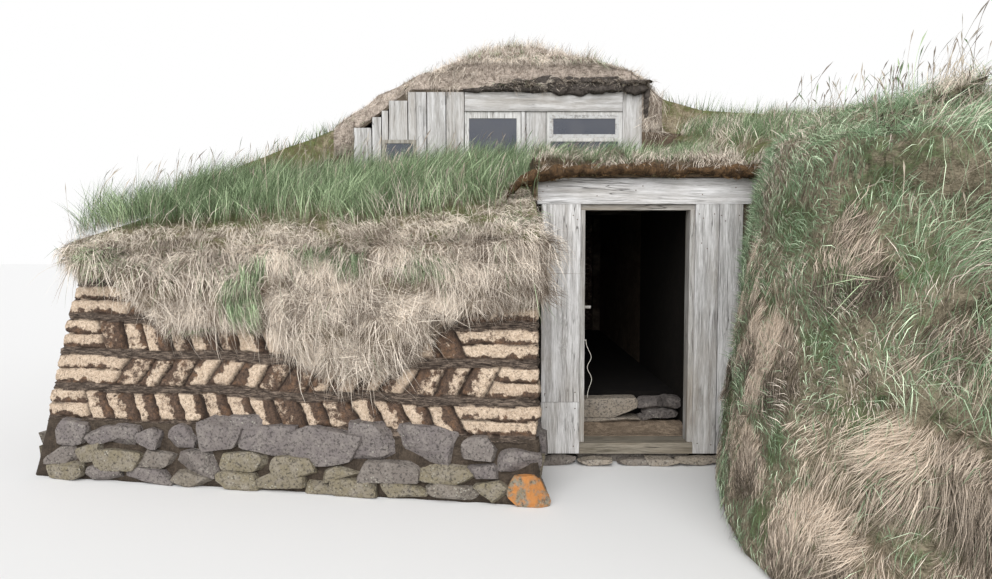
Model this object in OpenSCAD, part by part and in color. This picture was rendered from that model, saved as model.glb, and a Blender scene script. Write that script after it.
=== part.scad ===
// Turf house: timber doorway and passage, a low turf wing on the left, a grassed bank on the
// right and a boarded room with a sod roof behind. All walls are real masses, the rooms are hollow.
// Millimetres. X right, Y back, Z up. The origin is on the ground in the middle of the doorway,
// in the outer face of the door boards.

/* [Doorway] */
// Clear width between the jambs
door_w = 760; // [650:10:1000]
// Clear height from the sill to the head
door_h = 1705; // [1500:5:2000]
// Height of the stones under the sill
sill_stone_h = 75; // [40:5:120]
// Height of the timber sill
sill_h = 80; // [50:5:120]
// Depth of the sill from the outer face
sill_d = 200; // [160:10:300]
// How far the sill stones stand out in front
sill_stone_out = 60; // [20:5:100]
// Width of a jamb
jamb_w = 65; // [50:5:100]
// Depth of a jamb
jamb_d = 120; // [80:5:150]
// Strip of each jamb left uncovered by the boards
jamb_reveal = 35; // [20:5:45]
// Height of the door head
head_h = 70; // [50:5:110]
// Strip of the head that shows under the lintel board
head_show = 40; // [20:5:45]
// Thickness of the outer boards
plank_t = 28; // [20:1:40]
// Width of the board left of the door
board_left_w = 285; // [220:5:300]
// Length of the short piece under that board
board_foot_h = 380; // [250:10:600]
// Width of each of the two boards right of the door
board_right_w = 170; // [120:5:171]
// Height of the lintel board
lintel_h = 190; // [120:5:240]
// Reach of the lintel board left of the middle
lintel_left = 730; // [600:5:750]
// Reach of the lintel board right of the middle
lintel_right = 923; // [780:5:1000]
// Width of the open joint between two boards
groove_w = 3; // [2:1:6]
// Depth of that joint
groove_d = 10; // [6:1:16]
// Length of the wooden peg on the left jamb
peg_l = 48; // [30:2:70]
// Height of the peg above the ground
peg_z = 1150; // [900:10:1500]
// Height at which the string is tied
cord_z = 910; // [800:10:1100]
// Radius of the string
cord_r = 2; // [1.5:0.25:4]

/* [Passage and floor] */
// Thickness of the turf wall on each side of the passage
pass_wall_t = 315; // [250:5:400]
// Distance from the door boards to the boarded front behind
house_y = 2200; // [1800:20:2600]
// Thickness of the passage roof boards
ceil_t = 30; // [20:2:45]
// Height of the floor inside
floor_h = 400; // [300:10:500]
// Distance from the door boards to the stone step
step_y = 450; // [350:10:600]
// Depth of the stone step
step_d = 250; // [180:10:350]
// Thickness of the lower step stone
step_low_h = 90; // [60:5:120]

/* [Turf wing and wall masses] */
// Length of the front wall
wing_len = 3550; // [2800:50:4500]
// Angle by which the front wall runs back from the door line
skew = 10; // [0:1:15]
// Lean of the front face
batter = 7; // [3:0.5:10]
// Lean of the left face
batter_left = 11; // [5:0.5:13]
// Lean of the back face
batter_back = 8; // [4:0.5:12]
// Distance that the front wall stands in front of the door line
front_out = 900; // [600:20:1200]
// Thickness of the front wall
wall_t = 950; // [700:10:1200]
// Height of the wall under the sod at its right end
wing_top_right = 1600; // [1400:20:1800]
// Height of the wall under the sod at its left end
wing_top_left = 1500; // [1300:20:1700]
// Height of the wing where it meets the boarded front
wing_top_back = 2150; // [2060:10:2200]
// Height of the stone footing
footing_h = 420; // [300:10:520]
// How far the footing stands out from the turf
footing_proud = 35; // [15:5:60]
// Depth of the back wall of the room
back_t = 1150; // [800:50:1500]
// Distance of the right end from the middle of the door
right_run = 3000; // [2400:50:3600]

/* [Turf coursing] */
// Height of one course with its flat strip
course_h = 235; // [200:5:280]
// Height of the flat strip on each course
strip_h = 45; // [30:5:60]
// Open joint between two leaning blocks
joint = 8; // [5:1:14]
// Distance between the leaning blocks on the front
block_pitch = 175; // [150:5:240]
// Distance between the leaning blocks on the other sides
far_pitch = 400; // [320:5:450]
// Lean of the blocks, which turns about from course to course
block_lean = 30; // [15:1:38]
// Length of the long flat blocks at a corner
corner_long = 480; // [400:10:600]
// Length of the short flat blocks at a corner
corner_short = 360; // [260:10:390]
// Depth of the joints behind the block faces
facing_t = 45; // [25:5:70]
// Depth of the strips behind the block faces
strip_back = 15; // [5:1:24]

/* [House front] */
// Thickness of the wall under the boarded front
room_wall_t = 420; // [300:10:600]
// Depth of the room behind that wall
room_d = 2630; // [2200:50:3400]
// Height of the beam under the boarded front
front_rail_h = 70; // [50:5:70]
// Height of the window ledges above the ground
ledge_z = 2250; // [2150:10:2350]
// Height of the underside of the front beam
beam_z = 2950; // [2850:10:3050]
// Height of the front beam
beam_h = 195; // [150:5:240]
// Depth of the front beam
beam_d = 48; // [34:2:80]
// Width of the left window
win_left_w = 564; // [480:4:640]
// Width of the trim board beside it
trim_w = 48; // [30:2:70]
// Width of the board between the windows
mid_board_w = 202; // [150:2:240]
// Width of the right window
win_right_w = 763; // [650:5:840]
// Width of the board on the right
post_w = 198; // [150:2:240]
// Width of the small window
win_small_w = 350; // [280:5:380]
// Height of the small window
win_small_h = 420; // [300:10:440]
// Width of the window frame members
frame_w = 42; // [30:2:55]
// Height of the deep head of the left window
head_frame_h = 66; // [50:2:90]
// Width of the frame round the opening light
vent_frame_w = 30; // [20:2:40]
// Width of the members of the opening light
sash_w = 38; // [28:2:48]
// Height of the rail under the opening light
transom_h = 34; // [24:2:50]
// Width of the members of the small window
small_frame_w = 36; // [26:2:44]
// Height of the opening light in the right window
vent_h = 233; // [180:5:300]
// Thickness of the window glass
glass_t = 6; // [4:1:8]

/* [Roof and sods] */
// Height of the left eave
eave_z = 2720; // [2650:10:2800]
// Rise of the low roof on the left, per unit of width
low_slope = 0.75; // [0.6:0.05:0.9]
// Rise of the main roof sides
roof_slope = 0.39; // [0.3:0.01:0.5]
// Rise of the front and back ends of the roof
hip_slope = 0.42; // [0.3:0.01:0.6]
// Thickness of the roof boards
roof_board_t = 30; // [20:2:40]
// Width of the timbers of the frame
timber_w = 100; // [80:5:120]
// Thickness of the sods on the roof
roof_sod_t = 270; // [200:10:320]
// Thickness of the sods on the wing
sod_t = 180; // [120:5:240]
// Overhang of the sods
sod_over = 60; // [30:5:90]
// Greatest depth of the grass mat on the front
fringe_drop = 880; // [600:10:1000]
// Greatest thickness of that mat
fringe_t = 105; // [60:5:140]
// Height of the walls round the room at the right side of the roof
wall_top = 2750; // [2700:10:2850]
// Thickness of the sods on those walls
wall_sod_t = 240; // [180:10:300]
// Fall of the wall tops toward the outside, per unit of width
wall_fall = 0.32; // [0.2:0.02:0.4]
// Height of the turf right of the passage, at the door boards
side_top = 2140; // [2110:10:2180]
// Rise of that turf toward the back
side_rise = 0.2; // [0.12:0.02:0.24]
// Thickness of the sods on it
side_sod_t = 190; // [140:10:220]
// Thickness of the sods over the doorway
door_sod_t = 140; // [110:5:170]
// Height of one layer of turf on the front beam
layer_h = 50; // [40:2:70]

/* [Bank on the right] */
// Distance that the bank runs forward
bank_run = 2300; // [1700:50:2800]
// Foot of the bank beside the door, from the middle of the door
bank_foot_back = 620; // [600:5:700]
// Foot of the bank at its front
bank_foot_front = 270; // [150:10:500]
// Height of the bank
bank_h = 2400; // [2200:20:2600]

/* [Hidden] */
far = 12000;
// Door heights and widths
z_sill = sill_stone_h + sill_h;
z_head = z_sill + door_h;
z_ceil = z_head + head_h;
z_lintel = z_head + head_show;
z_ltop = z_lintel + lintel_h;
x_open = door_w / 2;
x_pass = x_open + jamb_w;
x_out = x_pass + pass_wall_t;
x_board = x_open + jamb_reveal;
y_face = plank_t;
y_step = step_y + step_d;
y_room = house_y + room_wall_t;
y_back = y_room + room_d;
y_end = y_back + back_t;
z_rail = z_ceil + front_rail_h;
// Front wall line, from the right end to the left end
x_left = -x_out - wing_len * cos(skew);
y_front = -front_out;
y_left = y_front + wing_len * sin(skew);
// Boards of the house front, from the left eave to the left window
board_ws = [184, 95, 69, 191, 189, 190, 186];
function edge(i) = i == 0 ? 0 : edge(i - 1) + board_ws[i - 1] + groove_w;
x_room_r = x_pass;
x_post = x_room_r - post_w;
x_win_r = x_post - groove_w - win_right_w;
x_mid = x_win_r - groove_w - mid_board_w;
x_trim = x_mid - groove_w - trim_w;
x_win_l = x_trim - groove_w - win_left_w;
x_room_l = x_win_l - edge(7);
x_small = x_room_l + edge(2);
y_board = house_y + plank_t;
z_beam = beam_z + beam_h;
z_vent1 = beam_z - vent_frame_w;
z_vent0 = z_vent1 - vent_h;
x_wr1 = x_win_r + win_right_w;
// Staple of the string, and the route of the string from it
staple_l = 10;
staple_y = 10;
staple_r = 4;
peg_r = 11;
// Depth to which a fused piece reaches into what carries it
root = 10;
// Reach of the corner blocks past the corner before they are cut
past_corner = 90;
// Rise of the post above the beam, half width of the passage roof, depth of the glass in its frame
post_up = 12;
x_ceil = x_out - 60;
glass_in = 8;
// Height to which the left face of the room walls is coursed
left_face_top = 2420;
cord_route = [[0, 0, 3], [1, 0, -15], [6, -1, -40], [18, -3, -70], [32, -4, -98], [39, -4, -128],
    [30, -3, -155], [17, -1, -178], [12, 0, -205], [20, -2, -232], [35, -5, -258], [43, -6, -288],
    [36, -5, -322], [24, -3, -355],
    [16, -1, -390], [13, 0, -428]];
// Planes given as height at the origin, rise along X, rise along Y
function plane(z, x, y, sx, sy) = [z - sx * x - sy * y, sx, sy];
function at(p, x, y) = p[0] + p[1] * x + p[2] * y;
function mix(a, b, t) = a + (b - a) * t;
wing_sy = (wing_top_back - wing_top_right) / (house_y - y_front);
wing_sx = (wing_top_right + wing_sy * (y_left - y_front) - wing_top_left) / (-x_out - x_left);
wing_plane = plane(wing_top_right, -x_out, y_front, wing_sx, wing_sy);
right_plane = plane(side_top, x_out, 0, 0.06, side_rise);
x_break = x_room_l + (z_beam - eave_z) / low_slope;
x_ridge = (x_break + x_room_r) / 2;
low_plane = plane(eave_z, x_room_l, 0, low_slope, 0);
roof_planes = [low_plane,
    plane(z_beam, x_break, 0, roof_slope, 0), plane(z_beam, x_room_r, 0, -roof_slope, 0),
    plane(z_beam, 0, y_board, 0, hip_slope), plane(z_beam, 0, y_back, 0, -hip_slope)];
left_top = plane(eave_z - 160, x_room_l, 0, wall_fall, 0);
back_top = plane(wall_top + 150, 0, y_back, 0, -wall_fall);
right_top = plane(wall_top, x_room_r, 0, -0.05, 0);
wall_planes = [left_top, back_top, right_top];
// Run of the hips in plan, and the rafters between them: one at each end of the ridge and one in the middle
hip_run = (x_room_r - x_break) / 2 * roof_slope / hip_slope;
rafters_y = [y_board + hip_run + timber_w / 2, (y_board + y_back) / 2, y_back - hip_run - timber_w / 2];
// Room left where a rafter butts against a beam
butt = 0.3;
// Reach of the roof sods past the room, and overshoot of the cutting shapes
skirt = 200;
spare = 200;

// Helpers

// Block between two opposite corners
module box(a, b) translate(a) cube(b - a);

// Everything under a sloping plane
module under(p, up = 0) {
    f = far;
    polyhedron([[-f, -f, -f], [f, -f, -f], [f, f, -f], [-f, f, -f],
        [-f, -f, at(p, -f, -f) + up], [f, -f, at(p, f, -f) + up],
        [f, f, at(p, f, f) + up], [-f, f, at(p, -f, f) + up]],
        [[0, 1, 2, 3], [4, 5, 1, 0], [7, 6, 5, 4], [5, 6, 2, 1], [6, 7, 3, 2], [7, 4, 0, 3]]);
}

module under_all(ps, up = 0) intersection_for (p = ps) under(p, up);

// Local frame of a leaning wall face: x along the face, z up the face, minus y outwards
module on_face(f) translate([f[0], f[1], 0]) rotate([0, 0, f[2]]) rotate([-f[3], 0, 0]) children();

// Everything behind a leaning face, moved outwards by out
module behind(f, out = 0)
    translate([f[0], f[1], 0]) rotate([0, 0, f[2]]) translate([0, -out, 0]) rotate([-f[3], 0, 0])
        translate([-far, 0, -far]) cube([2 * far, far, 2 * far]);

module prism(plan, z0, z1) translate([0, 0, z0]) linear_extrude(z1 - z0) polygon(plan);

// Closed mat between a grid of top points and a grid of bottom points, rows along Y
module mat(top, bottom) {
    r = len(top);
    c = len(top[0]);
    n = r * c;
    polyhedron(concat([for (row = top) for (p = row) p], [for (row = bottom) for (p = row) p]),
        concat(
            [for (i = [0:r - 2]) for (j = [0:c - 2]) [i * c + j, (i + 1) * c + j, (i + 1) * c + j + 1]],
            [for (i = [0:r - 2]) for (j = [0:c - 2]) [i * c + j, (i + 1) * c + j + 1, i * c + j + 1]],
            [for (i = [0:r - 2]) for (j = [0:c - 2])
                [n + i * c + j, n + (i + 1) * c + j + 1, n + (i + 1) * c + j]],
            [for (i = [0:r - 2]) for (j = [0:c - 2])
                [n + i * c + j, n + i * c + j + 1, n + (i + 1) * c + j + 1]],
            [for (j = [0:c - 2]) for (t = [0, 1]) t == 0 ? [j, j + 1, n + j + 1] : [j, n + j + 1, n + j]],
            [for (j = [0:c - 2], t = [0, 1]) let (k = (r - 1) * c + j)
                t == 0 ? [k + 1, k, n + k] : [k + 1, n + k, n + k + 1]],
            [for (i = [0:r - 2], t = [0, 1]) let (k = i * c)
                t == 0 ? [k + c, k, n + k] : [k + c, n + k, n + k + c]],
            [for (i = [0:r - 2], t = [0, 1]) let (k = i * c + c - 1)
                t == 0 ? [k, k + c, n + k + c] : [k, n + k + c, n + k]]));
}

// Gentle unevenness of a grown surface, about plus or minus one
function wave(x, y) = 0.5 * sin(x / 4.1 + y / 9) * cos(y / 3.7) + 0.3 * sin(x / 1.9 - y / 2.6)
    + 0.2 * cos(x / 1.3 + y / 1.7);

// Smooth lowest value of a list
function soft_min(v, k = 0.012) = -ln(sum([for (a = v) exp(-k * (a - v[0]))])) / k + v[0];
function sum(v, i = 0) = i == len(v) ? 0 : v[i] + sum(v, i + 1);

// Turf coursing

// One block of a face, from s0..s1 at its foot and shifted by d0 and d1 at foot and top
function block(s0, s1, h0, h1, d0, d1) = [[s0 + d0, h0], [s1 + d0, h0], [s1 + d1, h1], [s0 + d1, h1]];

// Face: [x, y, turn, lean, start, end, corner at start, corner at end, pitch, top height]
function corner_len(k) = k % 2 == 0 ? corner_long : corner_short;
function run0(f, k) = f[4] + (f[6] ? corner_len(k) : -f[8] / 2);
function run1(f, k) = f[5] - (f[7] ? corner_len(k + 1) : -f[8] / 2);
function foot(f, k) = footing_h / cos(f[3]) + k * course_h;
function rows(f) = ceil((f[9] - footing_h) / course_h);
function leans(k) = (course_h - strip_h) * tan(block_lean) * (k % 2 == 0 ? -1 : 1);
function seam(f, k, i, n) =
    mix(run0(f, k), run1(f, k), i / n) + (i == 0 || i == n ? 0 : 13 * sin(i * 97 + k * 61));

// The lowest course reaches down behind the top of the footing
function sink(k) = k == 0 ? 60 : 0;
function leaning_blocks(f, k) = let (n = max(1, round((run1(f, k) - run0(f, k)) / f[8])),
        h = foot(f, k), t = course_h - strip_h)
    run1(f, k) - run0(f, k) < joint * 8 ? [] :
    [for (i = [0:n - 1]) block(seam(f, k, i, n) + joint / 2, seam(f, k, i + 1, n) - joint / 2,
        h - sink(k), h + t, 0, leans(k))];

// Two long flat blocks on each other at each corner, cut to the lean of the course
function flat_blocks(f, k) = let (h = foot(f, k), b = h - sink(k), m = h + (course_h - strip_h) / 2,
        t = h + course_h - strip_h, g = joint / 2, d = leans(k), s0 = f[4] - past_corner,
        s1 = f[5] + past_corner, r0 = run0(f, k) - g, r1 = run1(f, k) + g)
    concat(
        f[6] ? [[[s0, b], [r0, b], [r0 + d / 2, m - g], [s0, m - g]],
            [[s0, m + g], [r0 + d / 2, m + g], [r0 + d, t], [s0, t]]] : [],
        f[7] ? [[[r1, b], [s1, b], [s1, m - g], [r1 + d / 2, m - g]],
            [[r1 + d / 2, m + g], [s1, m + g], [s1, t], [r1 + d, t]]] : []);

// Flat strip under each course but the lowest
function strips(f) = [for (k = [1:rows(f)])
    let (h = foot(f, k), s0 = f[4] - past_corner, s1 = f[5] + past_corner)
    [[s0, h - strip_h], [s1, h - strip_h], [s1, h], [s0, h]]];

// Depth of the strips behind the blocks, flush on the sides with wide blocks
function strip_depth(f) = f[8] == block_pitch ? strip_back : 0;

module outlines(quads) polygon([for (q = quads) for (p = q) p],
    [for (i = [0:len(quads) - 1]) [4 * i, 4 * i + 1, 4 * i + 2, 4 * i + 3]]);

// Slab with these outlines from the core of the wall out to a depth behind its face
module cladding(quads, depth) translate([0, facing_t + root, 0]) rotate([90, 0, 0])
    linear_extrude(facing_t + root - depth) outlines(quads);

// Herringbone facing of one wall face: leaning blocks, flat corner blocks and the flat strips
module facing(f) on_face(f) {
    blocks = [for (k = [0:rows(f) - 1]) for (q = concat(leaning_blocks(f, k), flat_blocks(f, k))) q];
    if (strip_depth(f) > 0) {
        cladding(blocks, 0);
        cladding(strips(f), strip_depth(f));
    } else {
        cladding(concat(blocks, strips(f)), 0);
    }
}

// Wall of a plan shape under a list of planes, with coursed faces
module turf_wall(plan, faces, tops, edges) intersection() {
    prism(plan, footing_h, far / 2);
    under_all(tops);
    intersection_for (g = edges) behind(g);
    union() {
        intersection_for (g = faces) behind(g, -facing_t);
        for (g = faces) facing(g);
    }
}

face_front = [-x_out, y_front, -skew, batter, -wing_len, 0, true, true, block_pitch, wing_top_right + 60];
face_end = [-x_out, y_front, 90, 0, 0, front_out, true, true, block_pitch, wing_top_right + 200];
function face_left(y0, y1, c0, c1, z) =
    [x_left, y_left, -90, batter_left, y_left - y1, y_left - y0, c0, c1, far_pitch, z];
function face_back(c0, c1, z) =
    [right_run, y_end, 180, batter_back, 0, right_run - x_left, c0, c1, far_pitch, z];
edge_front = face_front;
edge_left = face_left(0, 0, false, false, 0);
edge_back = face_back(false, false, 0);

// Y of the back line of the front wall
function wing_back(x) = y_front + wall_t / cos(skew) + (-x_out - x) * tan(skew);
x_past = x_left - spare;
front_plan = [[-x_pass, y_front - spare], [x_past, y_left - spare], [x_past, wing_back(x_past)],
    [-x_out, wing_back(-x_out)], [-x_pass, wing_back(-x_out)]];

// Walls

module footing() color([0.36, 0.37, 0.35]) intersection() {
    prism([[-x_out, y_front - spare], [x_past, y_left - spare], [x_past, y_end + spare],
        [right_run, y_end + spare], [right_run, y_back], [x_room_l, y_back],
        [x_room_l, wing_back(x_room_l)], [-x_out, wing_back(-x_out)]], 0, footing_h);
    behind(edge_front, footing_proud);
    behind(edge_left, footing_proud);
    behind(edge_back, footing_proud);
}

module wall_front() color([0.40, 0.28, 0.18])
    turf_wall(front_plan,
        [face_front, face_left(y_left, y_left + wall_t, false, true, wing_top_left + 200), face_end],
        [wing_plane], [edge_front, edge_left, face_end]);

module wall_left_front() color([0.38, 0.27, 0.18])
    turf_wall([[x_past, wing_back(x_past)], [x_room_l, wing_back(x_room_l)], [x_room_l, house_y],
        [x_past, house_y]],
        [face_left(wing_back(x_left), house_y, false, false, wing_top_left + 500)],
        [wing_plane], [edge_left]);

module wall_left_room() color([0.38, 0.27, 0.18])
    turf_wall([[x_past, house_y], [x_room_l, house_y], [x_room_l, y_back], [x_past, y_back]],
        [face_left(house_y, y_back, false, false, left_face_top)], wall_planes, [edge_left]);

module wall_back() color([0.38, 0.27, 0.18])
    turf_wall([[x_past, y_back], [right_run, y_back], [right_run, y_end + spare], [x_past, y_end + spare]],
        [face_left(y_back, y_end, true, false, left_face_top), face_back(false, true, wall_top - 130)],
        wall_planes, [edge_left, edge_back]);

module core_left() color([0.33, 0.25, 0.18]) intersection() {
    prism([[x_room_l, wing_back(x_room_l)], [-x_out, wing_back(-x_out)], [-x_out, house_y],
        [x_room_l, house_y]], 0, far / 2);
    under(wing_plane);
}

module wall_right_front() color([0.35, 0.26, 0.18]) intersection() {
    box([x_out, y_face, 0], [right_run, house_y, far / 2]);
    under(right_plane);
}

module wall_right_room() color([0.35, 0.26, 0.18]) intersection() {
    box([x_room_r, house_y, 0], [right_run, y_back, far / 2]);
    under_all(wall_planes);
}

module passage_wall(side) color([0.34, 0.26, 0.19])
    box([side > 0 ? x_pass : -x_out, y_face, 0], [side > 0 ? x_out : -x_pass, house_y, z_ceil]);
module passage_wall_left() passage_wall(-1);
module passage_wall_right() passage_wall(1);

module room_wall() color([0.34, 0.26, 0.19])
    box([x_room_l, house_y, 0], [-x_pass, y_room, z_ceil]);

// Foot of the bank and its inward direction, going round from the door to the party side
function bank_x(t) = mix(bank_foot_back, bank_foot_front, t);
function party_x(t) = mix(bank_foot_front, right_run, t);
bank_line = [
    [bank_foot_back, y_face, 1, 0],
    [bank_x(0.28), -bank_run * 0.13, 1, 0.12],
    [bank_x(0.56), -bank_run * 0.3, 1, 0.15],
    [bank_x(0.85), -bank_run * 0.5, 1, 0.18],
    [bank_foot_front, -bank_run * 0.7, 1, 0.25],
    [bank_foot_front + 40, -bank_run * 0.83, 0.9, 0.4],
    [bank_foot_front + 190, -bank_run * 0.93, 0.65, 0.75],
    [bank_foot_front + 480, -bank_run * 0.99, 0.3, 0.95],
    [party_x(0.4), -bank_run, 0, 1],
    [party_x(0.7), -bank_run, 0, 1],
    [right_run, -bank_run, 0, 1],
    [right_run, y_face, 0, 0]];
// Share of the height and distance inwards of each ring of the bank
bank_rings = [[0, 0], [0.2, 60], [0.42, 125], [0.62, 185], [0.8, 250], [0.92, 340], [0.98, 520], [1, 820]];
bank_lump = 45;
bank_crown = 230;

// Point of ring r at place p of the line; the edges against the house and the ground stay straight
function bank_point(r, p) = let (
        lump = r[0] == 0 || p[2] + p[3] == 0 ? 0
            : bank_lump * wave(p[1] * 1.5 + r[0] * 900, p[0] + r[0] * 1500),
        share = p[1] < -bank_run * 0.6 ? 0.95 : 1)
    [p[0] + p[2] * (r[1] + (p[3] == 0 ? 0 : lump)), p[1] + p[3] * (r[1] + lump), bank_h * r[0] * share];

module bank_right() color([0.47, 0.46, 0.28]) difference() {
    n = len(bank_line);
    m = len(bank_rings);
    gap = 4;
    polyhedron(
        concat([for (r = bank_rings) for (p = bank_line) bank_point(r, p)],
            [[party_x(0.62), -bank_run * 0.35, bank_h + bank_crown]]),
        concat([[for (i = [0:n - 1]) i]],
            [for (j = [0:m - 2]) for (i = [0:n - 1])
                let (a = j * n + i, b = j * n + (i + 1) % n) [a, a + n, b + n]],
            [for (j = [0:m - 2]) for (i = [0:n - 1])
                let (a = j * n + i, b = j * n + (i + 1) % n) [a, b + n, b]],
            [for (i = [0:n - 1]) [(m - 1) * n + i, m * n, (m - 1) * n + (i + 1) % n]]));
    box([-far, 0, -1], [lintel_right + gap, far, far]);
    box([-far, -sod_over - 10, z_ltop - 5], [lintel_right + gap, far, far]);
}

// Floor and doorway

module floor() color([0.36, 0.31, 0.25]) {
    translate([-x_pass, 0, 0]) rotate([90, 0, 90]) linear_extrude(2 * x_pass)
        polygon([[sill_d, 0], [y_room, 0], [y_room, floor_h], [y_step, floor_h], [y_step, z_sill],
            [sill_d, z_sill]]);
    box([x_room_l, y_room - 1, 0], [x_room_r, y_back, floor_h]);
}

module step_slab() color([0.42, 0.42, 0.40]) {
    box([-x_pass, step_y - 20, z_sill], [x_pass, y_step, z_sill + step_low_h]);
    box([-x_pass, step_y, z_sill + step_low_h - 1], [x_pass * 0.2, y_step, floor_h]);
    box([x_pass * 0.2 + 8, step_y + 25, z_sill + step_low_h - 1], [x_pass, y_step, floor_h - 12]);
}

module sill_stones() color([0.38, 0.36, 0.33]) {
    box([-x_board - board_left_w, 0, 0], [x_board + 2 * board_right_w + groove_w, y_face, sill_stone_h]);
    box([-x_pass, y_face - 1, 0], [x_pass, sill_d, sill_stone_h]);
    box([-x_board - board_left_w * 0.6, -sill_stone_out, 0], [bank_foot_back - 60, 1, sill_stone_h - 8]);
}

module door_sill() color([0.52, 0.47, 0.40]) {
    box([-x_pass, y_face, sill_stone_h], [x_pass, sill_d, z_sill]);
    box([-x_board, 0, sill_stone_h], [x_board, y_face + 1, z_sill]);
}

module jamb(side)
    box([side > 0 ? x_open : -x_pass, y_face, z_sill],
        [side > 0 ? x_pass : -x_open, y_face + jamb_d, z_head]);

// Round pin standing out of the opening side of the left jamb
module pin(y, z, r, l) translate([-x_open - root, y, z]) rotate([0, 90, 0])
    cylinder(r = r, h = l + root, $fn = 16);

module door_jamb_left() color([0.55, 0.54, 0.51]) {
    jamb(-1);
    pin(y_face + jamb_d * 0.35, peg_z, peg_r, peg_l);
    pin(y_face + staple_y, cord_z, staple_r, staple_l);
}
module door_jamb_right() color([0.55, 0.54, 0.51]) jamb(1);
module door_head() color([0.55, 0.54, 0.51])
    box([-x_pass, y_face, z_head], [x_pass, y_face + jamb_d, z_ceil]);

module door_lintel() color([0.60, 0.59, 0.56])
    box([-lintel_left, 0, z_lintel], [lintel_right, y_face, z_ltop]);

module door_boards_left() color([0.58, 0.58, 0.56]) difference() {
    box([-x_board - board_left_w, 0, sill_stone_h], [-x_board, y_face, z_lintel]);
    box([-far, -1, sill_stone_h + board_foot_h], [0, groove_d, sill_stone_h + board_foot_h + groove_w]);
    box([-far, -1, 0], [0, 3, sill_stone_h + board_foot_h]);
}

module door_boards_right() color([0.58, 0.58, 0.56]) difference() {
    box([x_board, 0, sill_stone_h], [x_board + 2 * board_right_w + groove_w, y_face, z_lintel]);
    box([x_board + board_right_w, -1, 0], [x_board + board_right_w + groove_w, groove_d, far]);
}

// Points on one smooth curve through a list of points, with n steps between two of them
function spline(a, b, c, d, t) = 0.5 * (2 * b + (c - a) * t + (2 * a - 5 * b + 4 * c - d) * t * t
    + (3 * b - 3 * c + d - a) * t * t * t);
function smooth(p, n) = let (m = len(p) - 1) concat([for (i = [0:m - 1]) for (k = [0:n - 1])
    spline(p[max(i - 1, 0)], p[i], p[i + 1], p[min(i + 2, m)], k / n)], [p[m]]);

// Round string along a list of points
module tube(pts, r, n = 8) {
    m = len(pts);
    ring = [for (i = [0:n - 1]) [cos(360 * i / n), sin(360 * i / n)]];
    polyhedron(
        [for (j = [0:m - 1])
            let (d = pts[min(m - 1, j + 1)] - pts[max(0, j - 1)], c = cross([0, 1, 0], d), u = c / norm(c),
                v = cross(d, u) / norm(d))
            for (q = ring) pts[j] + r * (q[0] * u + q[1] * v)],
        concat([[for (i = [0:n - 1]) i]], [[for (i = [n - 1:-1:0]) (m - 1) * n + i]],
            [for (j = [0:m - 2]) for (i = [0:n - 1])
                [j * n + i, (j + 1) * n + i, (j + 1) * n + (i + 1) % n, j * n + (i + 1) % n]]));
}

// Loose end of string hanging from the staple on the left jamb
module cord() color([0.85, 0.84, 0.78])
    translate([-x_open + staple_l + cord_r, y_face + staple_y, cord_z]) tube(smooth(cord_route, 3), cord_r);

module passage_ceiling() color([0.45, 0.42, 0.38])
    box([-x_ceil, y_face, z_ceil], [x_ceil, house_y, z_ceil + ceil_t]);

// Boarded front

module front_sill_beam() color([0.50, 0.48, 0.45])
    box([x_room_l, house_y, z_ceil], [x_room_r, y_room, z_rail]);

module front_boards() color([0.60, 0.60, 0.57]) difference() {
    union() {
        for (i = [0:6]) let (x = x_room_l + edge(i), w = board_ws[i])
            box([x, house_y, z_rail],
                [x + w + (i == 6 ? 0 : groove_w), y_board, min(z_beam, at(low_plane, x + w / 2, 0))]);
        box([x_win_l - groove_w - 1, house_y, z_rail], [x_post - groove_w, y_board, ledge_z]);
        box([x_trim, house_y, ledge_z - 1], [x_win_r - groove_w, y_board, beam_z]);
    }
    for (i = [1:6]) let (x = x_room_l + edge(i))
        box([x - groove_w, house_y - 1, 0], [x, house_y + groove_d, far]);
    for (x = [x_win_l, x_trim, x_win_r])
        box([x - groove_w, house_y - 1, 0], [x, house_y + groove_d, ledge_z]);
    box([x_mid - groove_w, house_y - 1, 0], [x_mid, house_y + groove_d, far]);
    box([x_small, house_y - 1, ledge_z],
        [x_small + win_small_w, y_board + 1, ledge_z + win_small_h]);
}

module front_post_right() color([0.60, 0.60, 0.57])
    box([x_post, house_y, z_rail], [x_room_r, y_board, z_beam + post_up]);

module front_beam() color([0.62, 0.62, 0.59])
    box([x_win_l, y_board - beam_d, beam_z], [x_post - groove_w, y_board, z_beam]);

// Frame with one opening between two corners in the plane of the front
module window_frame(x0, x1, z0, z1, w) difference() {
    box([x0, house_y, z0], [x1, y_board, z1]);
    box([x0 + w, 0, z0 + w], [x1 - w, far, z1 - w]);
}
module pane(x0, x1, z0, z1) color([0.10, 0.13, 0.16, 0.75])
    box([x0, house_y + glass_in, z0], [x1, house_y + glass_in + glass_t, z1]);

module window_left_frame() color([0.56, 0.55, 0.52]) difference() {
    box([x_win_l, house_y, ledge_z], [x_win_l + win_left_w, y_board, beam_z]);
    box([x_win_l + frame_w, 0, ledge_z + frame_w],
        [x_win_l + win_left_w - frame_w, far, beam_z - head_frame_h]);
}
module window_left_glass()
    pane(x_win_l + frame_w, x_win_l + win_left_w - frame_w, ledge_z + frame_w, beam_z - head_frame_h);

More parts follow.
